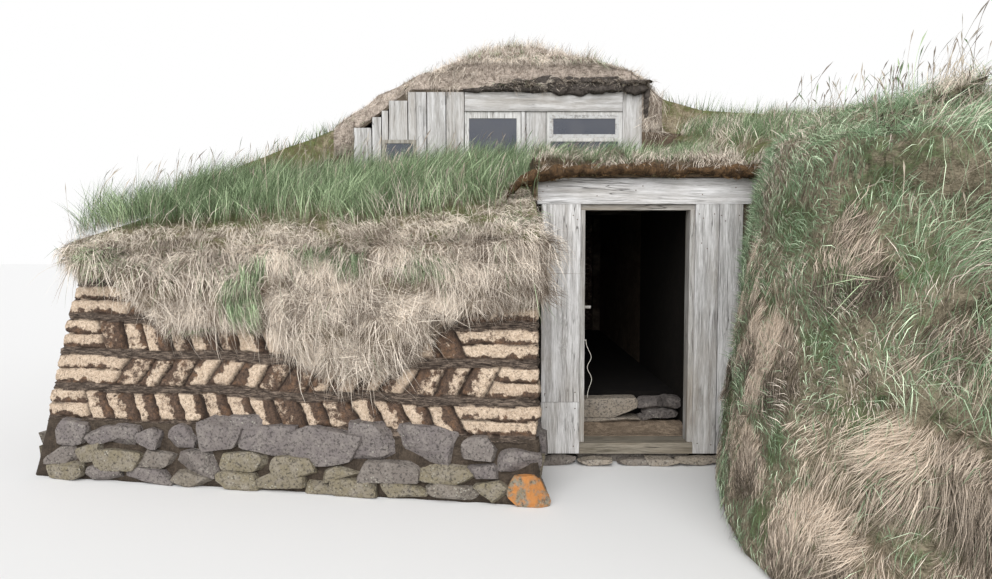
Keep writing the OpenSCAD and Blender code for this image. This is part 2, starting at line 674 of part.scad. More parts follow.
module window_right_frame() color([0.56, 0.55, 0.52]) difference() {
    box([x_win_r, house_y, ledge_z], [x_wr1, y_board, beam_z]);
    box([x_win_r + vent_frame_w, 0, z_vent0], [x_wr1 - vent_frame_w, far, z_vent1]);
    box([x_win_r + frame_w, 0, ledge_z + frame_w], [x_wr1 - frame_w, far, z_vent0 - transom_h]);
}
module window_right_casement() color([0.68, 0.68, 0.64])
    window_frame(x_win_r + vent_frame_w, x_wr1 - vent_frame_w, z_vent0, z_vent1, sash_w);
module casement_glass() let (w = vent_frame_w + sash_w)
    pane(x_win_r + w, x_wr1 - w, z_vent0 + sash_w, z_vent1 - sash_w);
module window_right_glass()
    pane(x_win_r + frame_w, x_wr1 - frame_w, ledge_z + frame_w, z_vent0 - transom_h);

module window_small_frame() color([0.56, 0.55, 0.52])
    window_frame(x_small, x_small + win_small_w, ledge_z, ledge_z + win_small_h, small_frame_w);
module window_small_glass() let (w = small_frame_w)
    pane(x_small + w, x_small + win_small_w - w, ledge_z + w, ledge_z + win_small_h - w);

// Frame and roof of the room

module room_frame() color([0.42, 0.36, 0.28]) intersection() {
    under_all(roof_planes);
    w = timber_w;
    union() {
        for (x = [x_room_l, x_mid, x_room_r - w]) {
            box([x, y_board, z_rail], [x + w, y_board + w, far / 3]);
            box([x, y_back - w, floor_h], [x + w, y_back, far / 3]);
        }
        box([x_room_l, y_board, eave_z - w], [x_room_l + w, y_back, far / 3]);
        box([x_room_r - w, y_board, z_beam - w], [x_room_r, y_back, far / 3]);
        box([x_room_l, y_board, z_beam - w], [x_room_r, y_board + w, far / 3]);
        box([x_room_l, y_back - w, z_beam - w], [x_room_r, y_back, far / 3]);
        box([x_room_l, y_back - w, eave_z - 2 * w], [x_room_r, y_back, eave_z - w]);
    }
}

module roof_frame() color([0.42, 0.36, 0.28]) intersection() {
    under_all(roof_planes);
    w = timber_w;
    box([x_break - w / 2, y_board + w, 0], [x_room_r - w, y_back - w, far]);
    union() {
        box([x_break - w / 2, y_board, z_beam - w], [x_break + w / 2, y_back, far]);
        box([x_ridge - 0.6 * w, y_board, at(roof_planes[1], x_ridge, 0) - 1.6 * w],
            [x_ridge + 0.6 * w, y_back, far]);
        for (y = rafters_y, run = [[x_break + w / 2, x_ridge - 0.6 * w], [x_ridge + 0.6 * w, x_room_r]])
            difference() {
                box([run[0] + butt, y - 0.4 * w, 0], [run[1] - butt, y + 0.4 * w, far]);
                under_all(roof_planes, -1.2 * w);
            }
    }
}

module roof_boards() color([0.44, 0.40, 0.34]) intersection() {
    box([x_room_l, y_board, 0], [x_room_r, y_back, far]);
    difference() {
        under_all(roof_planes, roof_board_t);
        under_all(roof_planes);
    }
}

// Sods

// Height of the grown surface over the room and its walls
function roof_skin(x, y) = soft_min([for (p = concat(roof_planes, [
        plane(z_beam - 30, x_room_r, 0, -1.7, 0), plane(z_beam - 150, x_room_r, 0, -0.55, 0),
        plane(z_beam - 40, 0, y_back, 0, -1.1),
        plane(eave_z - 190, x_room_l, y_board, low_slope, 0.7)])) at(p, x, y)], 0.02)
    + roof_board_t + roof_sod_t;
function wall_skin(x, y) = soft_min([for (p = wall_planes) at(p, x, y)]) + wall_sod_t;
// Lowering of the skin toward the outer edges of the walls
edge_w = 350;
function lowered(x, y) = let (d = min(x - x_left - 480, y_end - 330 - y))
    d > edge_w ? 0 : 130 * pow((edge_w - max(d, -60)) / (edge_w + 60), 2);
function skin(x, y) = -soft_min([-roof_skin(x, y), -wall_skin(x, y)], 0.02) + 22 * wave(x, y) - lowered(x, y);

module mound() {
    x0 = x_left + (eave_z - 300) * tan(batter_left) - sod_over;
    y1 = y_end - (wall_top - 150) * tan(batter_back) + sod_over;
    xs = concat([for (i = [0:4]) mix(x0, x_room_l - skirt, i / 5)],
        [for (i = [0:10]) mix(x_room_l - skirt, x_room_r + skirt, i / 10)],
        [for (i = [1:6]) mix(x_room_r + skirt, right_run, i / 6)]);
    ys = concat([for (i = [0:9]) mix(house_y, y_back + skirt, i / 10)],
        [for (i = [0:3]) mix(y_back + skirt, y1, i / 3)]);
    mat([for (y = ys) [for (x = xs) [x, y, skin(x, y)]]], [for (y = ys) [for (x = xs) [x, y, footing_h]]]);
}

module roof_area() difference() {
    box([x_room_l - skirt, house_y - 1, 0], [x_room_r + skirt, y_back + skirt, far]);
    box([x_room_l, house_y - 2, -1], [x_room_r, y_board, far + 1]);
}

module sod_main_roof() color([0.56, 0.52, 0.36]) difference() {
    intersection() {
        mound();
        roof_area();
    }
    under_all(wall_planes);
    intersection() {
        under_all(roof_planes, roof_board_t);
        box([x_room_l, 0, -1], [x_room_r, y_back, far]);
    }
}

module sod_rear() color([0.50, 0.50, 0.32]) difference() {
    mound();
    box([x_room_l - skirt, 0, -1], [x_room_r + skirt, y_back + skirt, far]);
    under_all(wall_planes);
}

// Top edge of the front face and of the left face of the wing
function wing_edge_y(x) = y_front + (-x_out - x) * tan(skew)
    + at(wing_plane, x, y_front) * tan(batter) / cos(skew) - 1.7 * sod_over;
function wing_edge_x(v) =
    x_left + at(wing_plane, x_left, mix(y_left, house_y, v)) * tan(batter_left) - sod_over;

// Point of the wing's sod in plan, and its rounding at the front and left edges
wing_nu = 13;
wing_nv = 8;
function wing_pt(i, j) =
    let (v = pow(j / wing_nv, 1.25), x = mix(wing_edge_x(v), -x_out, pow(i / wing_nu, 0.9)))
    [x, mix(wing_edge_y(x), house_y, v)];
function wing_round(i, j) = (j == 0 ? 0.45 : j == 1 ? 0.9 : 1) * (i == 0 ? 0.5 : i == 1 ? 0.92 : 1);

module sod_left() color([0.40, 0.45, 0.22])
    mat([for (j = [0:wing_nv]) [for (i = [0:wing_nu]) let (p = wing_pt(i, j), z = at(wing_plane, p[0], p[1]))
            [p[0], p[1], z + wing_round(i, j) * (sod_t + 26 * wave(p[0], p[1]))]]],
        [for (j = [0:wing_nv]) [for (i = [0:wing_nu]) let (p = wing_pt(i, j))
            [p[0], p[1], at(wing_plane, p[0], p[1])]]]);

// Drop of the mat of dry grass on the front face, as shares of the greatest drop from left to right
fringe_edge = [[0, 0.12], [0.08, 0.16], [0.2, 0.5], [0.28, 0.64], [0.38, 0.55], [0.47, 0.62], [0.58, 0.94],
    [0.68, 1], [0.8, 0.62], [0.9, 0.46], [1, 0.4]];
function fringe_low(u) = fringe_drop * lookup(u, fringe_edge);

// Height up the front face at which the sloping top plane is met, s along it and v inwards
function rim(s, v) = let (f = face_front, p = wing_plane, q = -p[1] * sin(f[2]) + p[2] * cos(f[2]))
    (at(p, f[0], f[1]) + s * (p[1] * cos(f[2]) + p[2] * sin(f[2])) + v * (q * cos(f[3]) + sin(f[3])))
    / (cos(f[3]) - q * sin(f[3]));
// Place along the front face of its left edge, at a height up the face
function left_rim(h) = (x_left - face_front[0]
    + h * (cos(batter) * tan(batter_left) - sin(batter) * sin(skew))) / cos(skew);

// Point of the mat: u along it from left to right, t from its lower edge to its rim, v inwards
fringe_nu = 15;
fringe_nv = 6;
function fringe_pt(u, t, v) = let (s = mix(left_rim(wing_top_left), 0, u), top = rim(s, v),
    h = mix(rim(s, 0) - fringe_low(u), top, t), sh = mix(left_rim(h) + 10, 8, u))
    [sh, v, t == 1 ? rim(sh, v) : h];
// Thickness of the mat, thin along its lower edge and at its ends
function fringe_out(i, j) = fringe_t
    * (j == 0 ? 0.25 : j == 1 ? 0.75 : 1) * (i == 0 || i == fringe_nu ? 0.4 : 1)
    * (0.85 + 0.15 * wave(i * 400, j * 400));

// Grid of points of the mat, at its outer skin for out = 1 and on the wall for out = 0
function fringe_grid(out) = [for (j = [0:fringe_nv]) [for (i = [0:fringe_nu])
    fringe_pt(i / fringe_nu, j / fringe_nv, -out * fringe_out(i, j))]];

module sod_fringe() color([0.62, 0.54, 0.42]) on_face(face_front) mat(fringe_grid(1), fringe_grid(0));

// Height of the sod over the doorway, rounded at its front edge and rising to the right
function door_skin(x, y) = z_ltop + door_sod_t - (y < 0 ? 55 : y < 50 ? 15 : 0) + 0.05 * y
    + 20 * wave(x * 1.6, y * 1.6) + 0.4 * max(0, x - 300) * y / house_y;

module sod_entrance() color([0.52, 0.45, 0.26]) difference() {
    xs = [for (i = [0:10]) mix(-x_out, lintel_right + 2, i / 10)];
    ys = concat([-sod_over, 0, 60], [for (i = [1:7]) mix(60, house_y, i / 7)]);
    mat([for (y = ys) [for (x = xs) [x, y, door_skin(x, y)]]], [for (y = ys) [for (x = xs) [x, y, z_ceil]]]);
    box([x_out, y_face, 0], [far, far, far]);
    box([-x_ceil, y_face, 0], [x_ceil, far, z_ceil + ceil_t]);
    box([-lintel_left, -far, 0], [far, y_face, z_ltop]);
}

module sod_right() color([0.42, 0.47, 0.24]) {
    xs = [for (i = [0:8]) mix(x_out, right_run, pow(i / 8, 1.2))];
    ys = [for (i = [0:8]) mix(y_face, house_y, i / 8)];
    mat([for (y = ys) [for (x = xs)
            [x, y, at(right_plane, x, y) + (x == xs[0] ? 0.55 : 1) * side_sod_t + 24 * wave(x, y)]]],
        [for (y = ys) [for (x = xs) [x, y, at(right_plane, x, y)]]]);
}

// Layers of turf on the front beam, with uneven edges
module turf_layer(x0, x1, z0, z1, y0, s) translate([0, y_board, 0]) rotate([90, 0, 0])
    linear_extrude(y_board - y0)
        polygon(concat([for (i = [0:11]) [mix(x0, x1, i / 11), z0]],
            [for (i = [11:-1:0])
                [mix(x0, x1, i / 11), z1 - (i % 11 == 0 ? 14 : 0) + 9 * wave(i * 700 + s, s)]]));

// Reach of each layer to the left, to the right and to the front
layers = [[40, 90, 75], [-20, 60, 95], [-140, -30, 55]];
lap = 20;

module edge_turves() color([0.30, 0.24, 0.17]) difference() {
    for (k = [0:2]) let (l = layers[k], z = z_beam + k * layer_h)
        turf_layer(x_break - l[0], x_room_r + l[1], z - (k == 0 ? 0 : lap), z + layer_h,
            house_y - l[2], 400 * k);
    box([x_post, house_y, 0], [x_room_r, y_board + 1, z_beam + post_up]);
    box([x_room_r, house_y - 1, 0], [far, far, far]);
}

footing();
wall_front();
wall_left_front();
wall_left_room();
wall_back();
wall_right_front();
wall_right_room();
bank_right();
core_left();
passage_wall_left();
passage_wall_right();
room_wall();
front_sill_beam();
floor();
step_slab();
sill_stones();
door_sill();
door_jamb_left();
door_jamb_right();
door_head();
door_lintel();
door_boards_left();
door_boards_right();
cord();
passage_ceiling();
front_boards();
front_beam();
front_post_right();
window_left_frame();
window_left_glass();
window_right_frame();
window_right_casement();
window_right_glass();
casement_glass();
window_small_frame();
window_small_glass();
room_frame();
roof_frame();
roof_boards();
sod_left();
sod_fringe();
sod_entrance();
sod_right();
sod_rear();
sod_main_roof();
edge_turves();
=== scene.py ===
"""Turf house: turf walls on stone footings, a boarded doorway, a boarded room behind and sods over it all.

Metres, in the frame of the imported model: X right, Y back into the house, Z up from the ground.
"""
import logging
import math
from dataclasses import dataclass, field, replace
from enum import Enum
from typing import Callable, Iterable, Sequence

import bpy
import numpy as np
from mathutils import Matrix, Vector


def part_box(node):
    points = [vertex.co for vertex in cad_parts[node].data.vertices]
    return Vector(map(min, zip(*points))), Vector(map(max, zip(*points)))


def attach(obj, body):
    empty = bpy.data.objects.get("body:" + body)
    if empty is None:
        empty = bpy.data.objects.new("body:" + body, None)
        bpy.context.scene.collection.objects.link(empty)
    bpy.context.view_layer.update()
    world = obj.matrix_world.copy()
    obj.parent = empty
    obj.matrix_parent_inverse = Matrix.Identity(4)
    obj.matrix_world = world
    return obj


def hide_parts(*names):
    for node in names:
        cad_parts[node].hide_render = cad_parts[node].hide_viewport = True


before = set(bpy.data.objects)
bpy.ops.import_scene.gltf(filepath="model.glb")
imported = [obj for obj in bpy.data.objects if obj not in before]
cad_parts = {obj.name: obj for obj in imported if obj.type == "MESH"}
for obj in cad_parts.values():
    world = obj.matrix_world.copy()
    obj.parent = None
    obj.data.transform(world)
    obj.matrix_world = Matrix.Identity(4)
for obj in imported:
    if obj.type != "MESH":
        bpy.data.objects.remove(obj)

LOG = logging.getLogger("turf_house")
Array = np.ndarray
Colour = tuple[float, float, float]
Point = tuple[float, float, float]
UP = np.array([0.0, 0.0, 1.0])


# Numbers and shapes

def lattice_noise(points: Array, seed: int) -> Array:
    """Smooth noise from about -1 to 1.

    Each whole-number corner round a point has a hashed value, and the eight corners are blended by the
    smoothstep of the distances to them.

    Args:
        points: Places, last axis of length 3.
        seed: Whole number that picks the pattern.
    Returns:
        One value per point.
    """
    cell = np.floor(points).astype(np.int64)
    part = points - cell
    part = part * part * (3.0 - 2.0 * part)
    total = np.zeros(points.shape[:-1])
    for corner in np.ndindex(2, 2, 2):
        weight = np.prod(np.where(np.array(corner) == 1, part, 1.0 - part), axis=-1)
        total += weight * hashed(cell + np.array(corner), seed)
    return total


def hashed(cell: Array, seed: int) -> Array:
    """Value from -1 to 1 for each whole-number cell (last axis of length 3) and seed."""
    key = cell[..., 0] * 73856093 ^ cell[..., 1] * 19349663 ^ cell[..., 2] * 83492791 ^ seed * 2654435761
    key = key & 0xFFFFFFFF
    key = ((key ^ (key >> 13)) * 1274126177) & 0xFFFFFFFF
    key = ((key ^ (key >> 16)) * 2246822519) & 0xFFFFFFFF
    return ((key >> 8) & 0xFFFF) / 32767.5 - 1.0


def layered_noise(points: Array, seed: int, octaves: int = 4) -> Array:
    """Sum of lattice noise over octaves, each at twice the frequency and half the strength of the last."""
    return sum(lattice_noise(points * 2.0**i, seed + i) * 0.5**i for i in range(octaves)) / 1.6


def smooth_step(low: float, high: float, value: Array) -> Array:
    """S-curve that runs from 0 at low to 1 at high."""
    t = np.clip((value - low) / (high - low), 0.0, 1.0)
    return t * t * (3.0 - 2.0 * t)


def unit(vectors: Array) -> Array:
    """Vectors scaled to length 1."""
    return vectors / np.maximum(np.linalg.norm(vectors, axis=-1, keepdims=True), 1e-9)


def nearest_seed(points: Array, size: float, seed: int) -> tuple[Array, Array, Array]:
    """Nearest of a field of scattered seeds, one in each cube of the given size.

    Args:
        points: Places, shape (n, 3).
        size: Edge of a cube in metres.
        seed: Whole number that picks the field.
    Returns:
        The seed's place, three random values from -1 to 1 that belong to it, and the distance to it.
    """
    cell = np.floor(points / size).astype(np.int64)
    best = np.full(len(points), np.inf)
    place = np.zeros_like(points)
    values = np.zeros_like(points)
    for offset in np.ndindex(3, 3, 3):
        c = cell + np.array(offset) - 1
        jitter = np.stack([hashed(c, seed + i) for i in range(3)], axis=-1)
        s = (c + 0.5 + 0.42 * jitter) * size
        d = np.linalg.norm(s - points, axis=-1)
        near = d < best
        best = np.where(near, d, best)
        place = np.where(near[:, None], s, place)
        more = np.stack([hashed(c, seed + 7 + i) for i in range(3)], axis=-1)
        values = np.where(near[:, None], more, values)
    return place, values, best


def grid_faces(rows: int, columns: int, wrap: bool = False) -> Array:
    """Quads of a grid whose points run along columns first; wrap joins the last column to the first."""
    r, c = np.meshgrid(np.arange(rows - 1), np.arange(columns if wrap else columns - 1), indexing="ij")
    n = (c + 1) % columns
    quads = np.stack([r * columns + c, r * columns + n, (r + 1) * columns + n, (r + 1) * columns + c], axis=-1)
    return quads.reshape(-1, 4)


def tube_faces(rows: int, columns: int) -> list[Array]:
    """Faces of a closed tube: its sides, then a cap on its first ring and one on its last."""
    ring = np.arange(columns)
    return [grid_faces(rows, columns, wrap=True)[:, ::-1], ring[None, :], (rows - 1) * columns + ring[None, ::-1]]


def closed_wall(outer: Array, rows: int, inner: Array, low: Array, high: Array) -> tuple[Array, list[Array]]:
    """Closes an outer grid of points with flat ends, a top, a bottom and an inner side.

    Args:
        outer: Points of the outer side, row by row from its foot.
        rows: Number of rows in it.
        inner: Plan points of the inner side, from the end of the outer line back to its start.
        low: Height of the foot at each inner point.
        high: Height of the top at each inner point.
    Returns:
        All points, and the faces between them.
    """
    base, m, columns = len(outer), len(inner), len(outer) // rows
    lows, highs = base + np.arange(m), base + m + np.arange(m)
    row, column = np.arange(columns), np.arange(rows) * columns
    faces = [grid_faces(rows, columns),
             np.concatenate([(rows - 1) * columns + row, highs])[None, :],
             np.concatenate([row, lows])[None, ::-1],
             np.concatenate([column[::-1] + columns - 1, [lows[0], highs[0]]])[None, :],
             np.concatenate([column, [highs[-1], lows[-1]]])[None, :],
             np.stack([lows[:-1], lows[1:], highs[1:], highs[:-1]], axis=-1)]
    return np.concatenate([outer, np.column_stack([inner, low]), np.column_stack([inner, high])]), faces


@dataclass
class Surface:
    """Points and faces of one piece, with what its finish reads at each point."""

    points: Array
    faces: list[Array]
    uv: Array | None = None
    values: dict[str, Array] = field(default_factory=dict)


def joined(surfaces: Sequence[Surface]) -> Surface:
    """One surface from several that carry the same values."""
    starts = np.cumsum([0] + [len(s.points) for s in surfaces])
    faces = [f + starts[i] for i, s in enumerate(surfaces) for f in s.faces]
    uv = None if surfaces[0].uv is None else np.concatenate([s.uv for s in surfaces])
    values = {k: np.concatenate([s.values[k] for s in surfaces]) for k in surfaces[0].values}
    return Surface(np.concatenate([s.points for s in surfaces]), faces, uv, values)


def make_piece(name: str, surface: Surface, finish: "Finish", replaces: Iterable[str] = (), smooth: bool = True,
               body: str = "root") -> bpy.types.Object:
    """Puts a surface into a mesh object that rides on a body.

    Args:
        name: Name of the piece.
        surface: Its points, faces and values.
        finish: Its finish, whose material the mesh gets.
        replaces: CAD nodes that it stands for.
        smooth: Whether its faces are shaded smoothly.
        body: Body that it rides on.
    Returns:
        The new object.
    """
    mesh = bpy.data.meshes.new(name)
    loops = np.concatenate([f.ravel() for f in surface.faces]).astype(np.int32)
    sizes = np.concatenate([np.full(len(f), f.shape[1]) for f in surface.faces])
    mesh.vertices.add(len(surface.points))
    mesh.vertices.foreach_set("co", surface.points.astype(np.float32).ravel())
    mesh.loops.add(len(loops))
    mesh.loops.foreach_set("vertex_index", loops)
    mesh.polygons.add(len(sizes))
    mesh.polygons.foreach_set("loop_start", np.concatenate([[0], np.cumsum(sizes)[:-1]]).astype(np.int32))
    mesh.update(calc_edges=True)
    mesh.polygons.foreach_set("use_smooth", np.full(len(sizes), smooth))
    if surface.uv is not None:
        layer = mesh.uv_layers.new(name="UVMap")
        layer.data.foreach_set("uv", surface.uv.astype(np.float32)[loops].ravel())
    for key, value in surface.values.items():
        kind, entry = ("FLOAT", "value") if value.ndim == 1 else ("FLOAT_VECTOR", "vector")
        mesh.attributes.new(key, kind, "POINT").data.foreach_set(entry, value.astype(np.float32).ravel())
    mesh.materials.append(finish.material())
    mesh.update()
    piece = bpy.data.objects.new(name, mesh)
    bpy.context.scene.collection.objects.link(piece)
    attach(piece, body)
    if replaces:
        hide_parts(*replaces)
    mesh.calc_loop_triangles()
    LOG.info("%s: %d triangles", name, len(mesh.loop_triangles))
    return piece


# Node building

class Board:
    """Small helper that adds nodes to a tree and joins them."""

    def __init__(self, tree: bpy.types.NodeTree) -> None:
        """Keeps the tree that the nodes go into."""
        self.tree = tree

    def add(self, kind: str, inputs: dict | None = None, **settings: object) -> bpy.types.Node:
        """Adds a node.

        Args:
            kind: Blender's name of the node type.
            inputs: Socket name or number to a value, or to another node's output.
            settings: Properties of the node.
        Returns:
            The node.
        """
        node = self.tree.nodes.new(kind)
        for key, value in settings.items():
            setattr(node, key, value)
        for key, value in (inputs or {}).items():
            if isinstance(value, bpy.types.NodeSocket):
                self.tree.links.new(value, node.inputs[key])
            elif value is not None:
                node.inputs[key].default_value = value
        return node

    def math(self, operation: str, a: object, b: object = None) -> bpy.types.NodeSocket:
        """Result of one sum."""
        return self.add("ShaderNodeMath", {0: a, 1: b}, operation=operation).outputs[0]

    def times(self, a: object, b: object) -> bpy.types.NodeSocket:
        """Product of two values."""
        return self.math("MULTIPLY", a, b)

    def plus(self, a: object, b: object) -> bpy.types.NodeSocket:
        """Sum of two values."""
        return self.math("ADD", a, b)

    def minus(self, a: object, b: object) -> bpy.types.NodeSocket:
        """First value less the second."""
        return self.math("SUBTRACT", a, b)

    def noise(self, vector: object, scale: float, detail: float = 3.0, rough: float = 0.6) -> bpy.types.NodeSocket:
        """Value of a noise texture."""
        return self.add("ShaderNodeTexNoise", {"Vector": vector, "Scale": scale, "Detail": detail,
                                               "Roughness": rough}).outputs["Fac"]

    def ramp(self, value: object, low: float, high: float) -> bpy.types.NodeSocket:
        """0 below low, 1 above high and a smooth step between."""
        return self.add("ShaderNodeMapRange", {"Value": value, "From Min": low, "From Max": high},
                        interpolation_type="SMOOTHSTEP").outputs[0]

    def mix(self, share: object, a: object, b: object) -> bpy.types.NodeSocket:
        """Colour between a and b."""
        node = self.add("ShaderNodeMix", {0: share}, data_type="RGBA")
        for index, value in ((6, a), (7, b)):
            if isinstance(value, bpy.types.NodeSocket):
                self.tree.links.new(value, node.inputs[index])
            else:
                node.inputs[index].default_value = (*value, 1.0)
        return node.outputs[2]

    def stretched(self, vector: object, factors: Point) -> bpy.types.NodeSocket:
        """Vector multiplied by one factor for each axis."""
        return self.add("ShaderNodeVectorMath", {0: vector, 1: factors}, operation="MULTIPLY").outputs[0]

    def shifted(self, vector: object, by: object) -> bpy.types.NodeSocket:
        """Vector with another one added."""
        return self.add("ShaderNodeVectorMath", {0: vector, 1: by}, operation="ADD").outputs[0]

    def attribute(self, name: str, vector: bool = False) -> bpy.types.NodeSocket:
        """Value or vector stored on the piece's points."""
        node = self.add("ShaderNodeAttribute", attribute_name=name)
        return node.outputs["Vector" if vector else "Fac"]


GROUPS: dict[str, bpy.types.NodeTree] = {}
MATERIALS: dict[str, bpy.types.Material] = {}


def shared_group(name: str, inputs: Sequence[tuple[str, str, object]], outputs: Sequence[tuple[str, str]],
                 fill: Callable[[Board, bpy.types.Node], dict[str, bpy.types.NodeSocket]]) -> bpy.types.NodeTree:
    """Shader node group that is built once and then shared.

    Args:
        name: Name of the group.
        inputs: Name, socket type and default of each input.
        outputs: Name and socket type of each output.
        fill: Builds the inside from the group's input node and returns a socket for each output.
    Returns:
        The group.
    """
    if name not in GROUPS:
        tree = bpy.data.node_groups.new(name, "ShaderNodeTree")
        for label, kind, default in inputs:
            socket = tree.interface.new_socket(label, in_out="INPUT", socket_type=kind)
            if default is not None:
                socket.default_value = default
        for label, kind in outputs:
            tree.interface.new_socket(label, in_out="OUTPUT", socket_type=kind)
        board = Board(tree)
        ends = fill(board, board.add("NodeGroupInput"))
        board.add("NodeGroupOutput", ends)
        GROUPS[name] = tree
    return GROUPS[name]


FLOAT, COLOUR, VECTOR = "NodeSocketFloat", "NodeSocketColor", "NodeSocketVector"


def grain_group() -> bpy.types.NodeTree:
    """Weathered timber grain along Z: streaks, knots and drying cracks."""

    def fill(b: Board, start: bpy.types.Node) -> dict[str, bpy.types.NodeSocket]:
        """Streaks are noise stretched along Z and bent by a slower noise; knots are rings round scattered cells."""
        v = start.outputs["Vector"]
        bend = b.add("ShaderNodeTexNoise", {"Vector": b.stretched(v, (2.5, 2.5, 0.9)), "Scale": 2.0, "Detail": 1.0})
        bent = b.shifted(v, b.stretched(bend.outputs["Color"], (0.05, 0.05, 0.0)))
        cell = b.add("ShaderNodeTexVoronoi", {"Vector": b.stretched(v, (1.0, 0.4, 0.42)), "Scale": 4.2})
        seldom = b.ramp(b.add("ShaderNodeSeparateColor", {0: cell.outputs["Color"]}).outputs[0], 0.62, 0.66)
        knot = b.times(seldom, b.ramp(cell.outputs["Distance"], 0.085, 0.05))
        around = b.times(seldom, b.ramp(cell.outputs["Distance"], 0.32, 0.06))
        lined = b.stretched(bent, (1.0, 1.0, 0.045))
        aside = b.add("ShaderNodeCombineXYZ", {0: around, 1: around}).outputs[0]
        fine = b.noise(b.shifted(lined, b.stretched(aside, (0.02, 0.02, 0.0))), 190.0, 4.0, 0.7)
        wide = b.noise(lined, 34.0, 3.0, 0.55)
        split = b.minus(b.noise(b.stretched(bent, (1.0, 1.0, 0.03)), 26.0, 2.0), 0.5)
        crack = b.ramp(b.math("ABSOLUTE", split), 0.012, 0.003)
        crack = b.times(crack, b.ramp(b.noise(v, 3.0, 1.0), 0.45, 0.6))
        streak = b.plus(b.times(fine, 0.55), b.times(wide, 0.45))
        streak = b.ramp(streak, 0.33, 0.66)
        stain = b.ramp(b.noise(b.stretched(v, (1.0, 1.0, 0.25)), 5.0, 4.0), 0.42, 0.72)
        base = b.mix(streak, start.outputs["Dark"], start.outputs["Light"])
        base = b.mix(b.times(stain, start.outputs["Stain"]), base, (0.27, 0.225, 0.17))
        base = b.mix(b.times(knot, 0.85), base, (0.10, 0.07, 0.05))
        base = b.mix(b.times(crack, start.outputs["Cracks"]), base, (0.06, 0.055, 0.05))
        height = b.minus(streak, b.times(crack, b.times(start.outputs["Cracks"], 3.0)))
        return {"Colour": base, "Height": height}

    return shared_group("Weathered grain", [("Vector", VECTOR, None), ("Dark", COLOUR, (0.2, 0.19, 0.18, 1.0)),
                                            ("Light", COLOUR, (0.6, 0.59, 0.58, 1.0)), ("Stain", FLOAT, 0.4),
                                            ("Cracks", FLOAT, 0.7)],
                        [("Colour", COLOUR), ("Height", FLOAT)], fill)


def fibre_group() -> bpy.types.NodeTree:
    """Matted roots and fibres: fine specks with thread-like marks."""

    def fill(b: Board, start: bpy.types.Node) -> dict[str, bpy.types.NodeSocket]:
        """Specks are a sharp fine noise; threads are noise stretched to one side and then to another."""
        v = start.outputs["Vector"]
        specks = b.noise(v, 240.0, 3.0, 0.75)
        one = b.noise(b.stretched(v, (1.0, 0.7, 0.16)), 260.0, 3.0, 0.7)
        other = b.noise(b.stretched(v, (0.18, 0.5, 1.0)), 240.0, 3.0, 0.7)
        which = b.ramp(b.noise(v, 16.0, 2.0), 0.45, 0.55)
        thread = b.plus(b.times(one, which), b.times(other, b.minus(1.0, which)))
        lumps = b.noise(v, 42.0, 4.0, 0.65)
        mask = b.plus(b.times(specks, 0.34), b.times(thread, 0.33))
        mask = b.plus(mask, b.times(lumps, 0.33))
        return {"Mask": b.ramp(mask, 0.38, 0.62), "Height": mask}

    return shared_group("Root fibre", [("Vector", VECTOR, None)], [("Mask", FLOAT), ("Height", FLOAT)], fill)


# Finishes

class Finish:
    """A named finish; material() builds it once."""

    slot = ""

    def material(self) -> bpy.types.Material:
        """The finish's material, built on first use."""
        key = repr(self)
        if key not in MATERIALS:
            made = bpy.data.materials.new(type(self).__name__.lower())
            made.use_nodes = True
            made.node_tree.nodes.clear()
            board = Board(made.node_tree)
            shader = board.add("ShaderNodeBsdfPrincipled", {"Specular IOR Level": 0.2, "Roughness": 0.9})
            self.fill(board, shader)
            board.add("ShaderNodeOutputMaterial", {"Surface": shader.outputs[0]})
            MATERIALS[key] = made
        return MATERIALS[key]

    def fill(self, b: Board, shader: bpy.types.Node) -> None:
        """Joins the nodes of the finish to the shader."""
        raise NotImplementedError

    @staticmethod
    def place(b: Board) -> bpy.types.NodeSocket:
        """Object coordinates."""
        return b.add("ShaderNodeTexCoord").outputs["Object"]

    @staticmethod
    def put(b: Board, shader: bpy.types.Node, colour: object, height: object, depth: float) -> None:
        """Joins a colour, and a height as bump of the given depth in metres, to the shader."""
        b.tree.links.new(colour, shader.inputs["Base Color"])
        bump = b.add("ShaderNodeBump", {"Height": height, "Distance": depth, "Strength": 1.0})
        b.tree.links.new(bump.outputs[0], shader.inputs["Normal"])

    def dress(self, *nodes: str) -> None:
        """Gives CAD nodes this finish."""
        for name in nodes:
            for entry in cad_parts[name].material_slots:
                entry.material = self.material()


class Along(Enum):
    """Direction of the grain of a timber."""

    X = "x"
    Y = "y"
    Z = "z"
    STORED = "stored"


@dataclass(frozen=True)
class Timber(Finish):
    """Sawn timber, weathered silver or brown."""

    slot: str = "grey_board"
    along: Along = Along.Z
    dark: Colour = (0.33, 0.315, 0.30)
    light: Colour = (0.68, 0.675, 0.67)
    stain: float = 0.4
    cracks: float = 0.7
    depth: float = 0.002

    def fill(self, b: Board, shader: bpy.types.Node) -> None:
        """Grain along the timber, with bump from the same streaks."""
        if self.along is Along.STORED:
            v = b.attribute("grain", vector=True)
        else:
            turn = {Along.X: (0.0, math.pi / 2, 0.0), Along.Y: (math.pi / 2, 0.0, 0.0), Along.Z: (0.0, 0.0, 0.0)}
            v = b.add("ShaderNodeMapping", {"Vector": self.place(b), "Rotation": turn[self.along]}).outputs[0]
        grain = b.add("ShaderNodeGroup", node_tree=grain_group())
        b.tree.links.new(v, grain.inputs["Vector"])
        grain.inputs["Dark"].default_value = (*self.dark, 1.0)
        grain.inputs["Light"].default_value = (*self.light, 1.0)
        grain.inputs["Stain"].default_value = self.stain
        grain.inputs["Cracks"].default_value = self.cracks
        shader.inputs["Roughness"].default_value = 0.85
        self.put(b, shader, grain.outputs["Colour"], grain.outputs["Height"], self.depth)


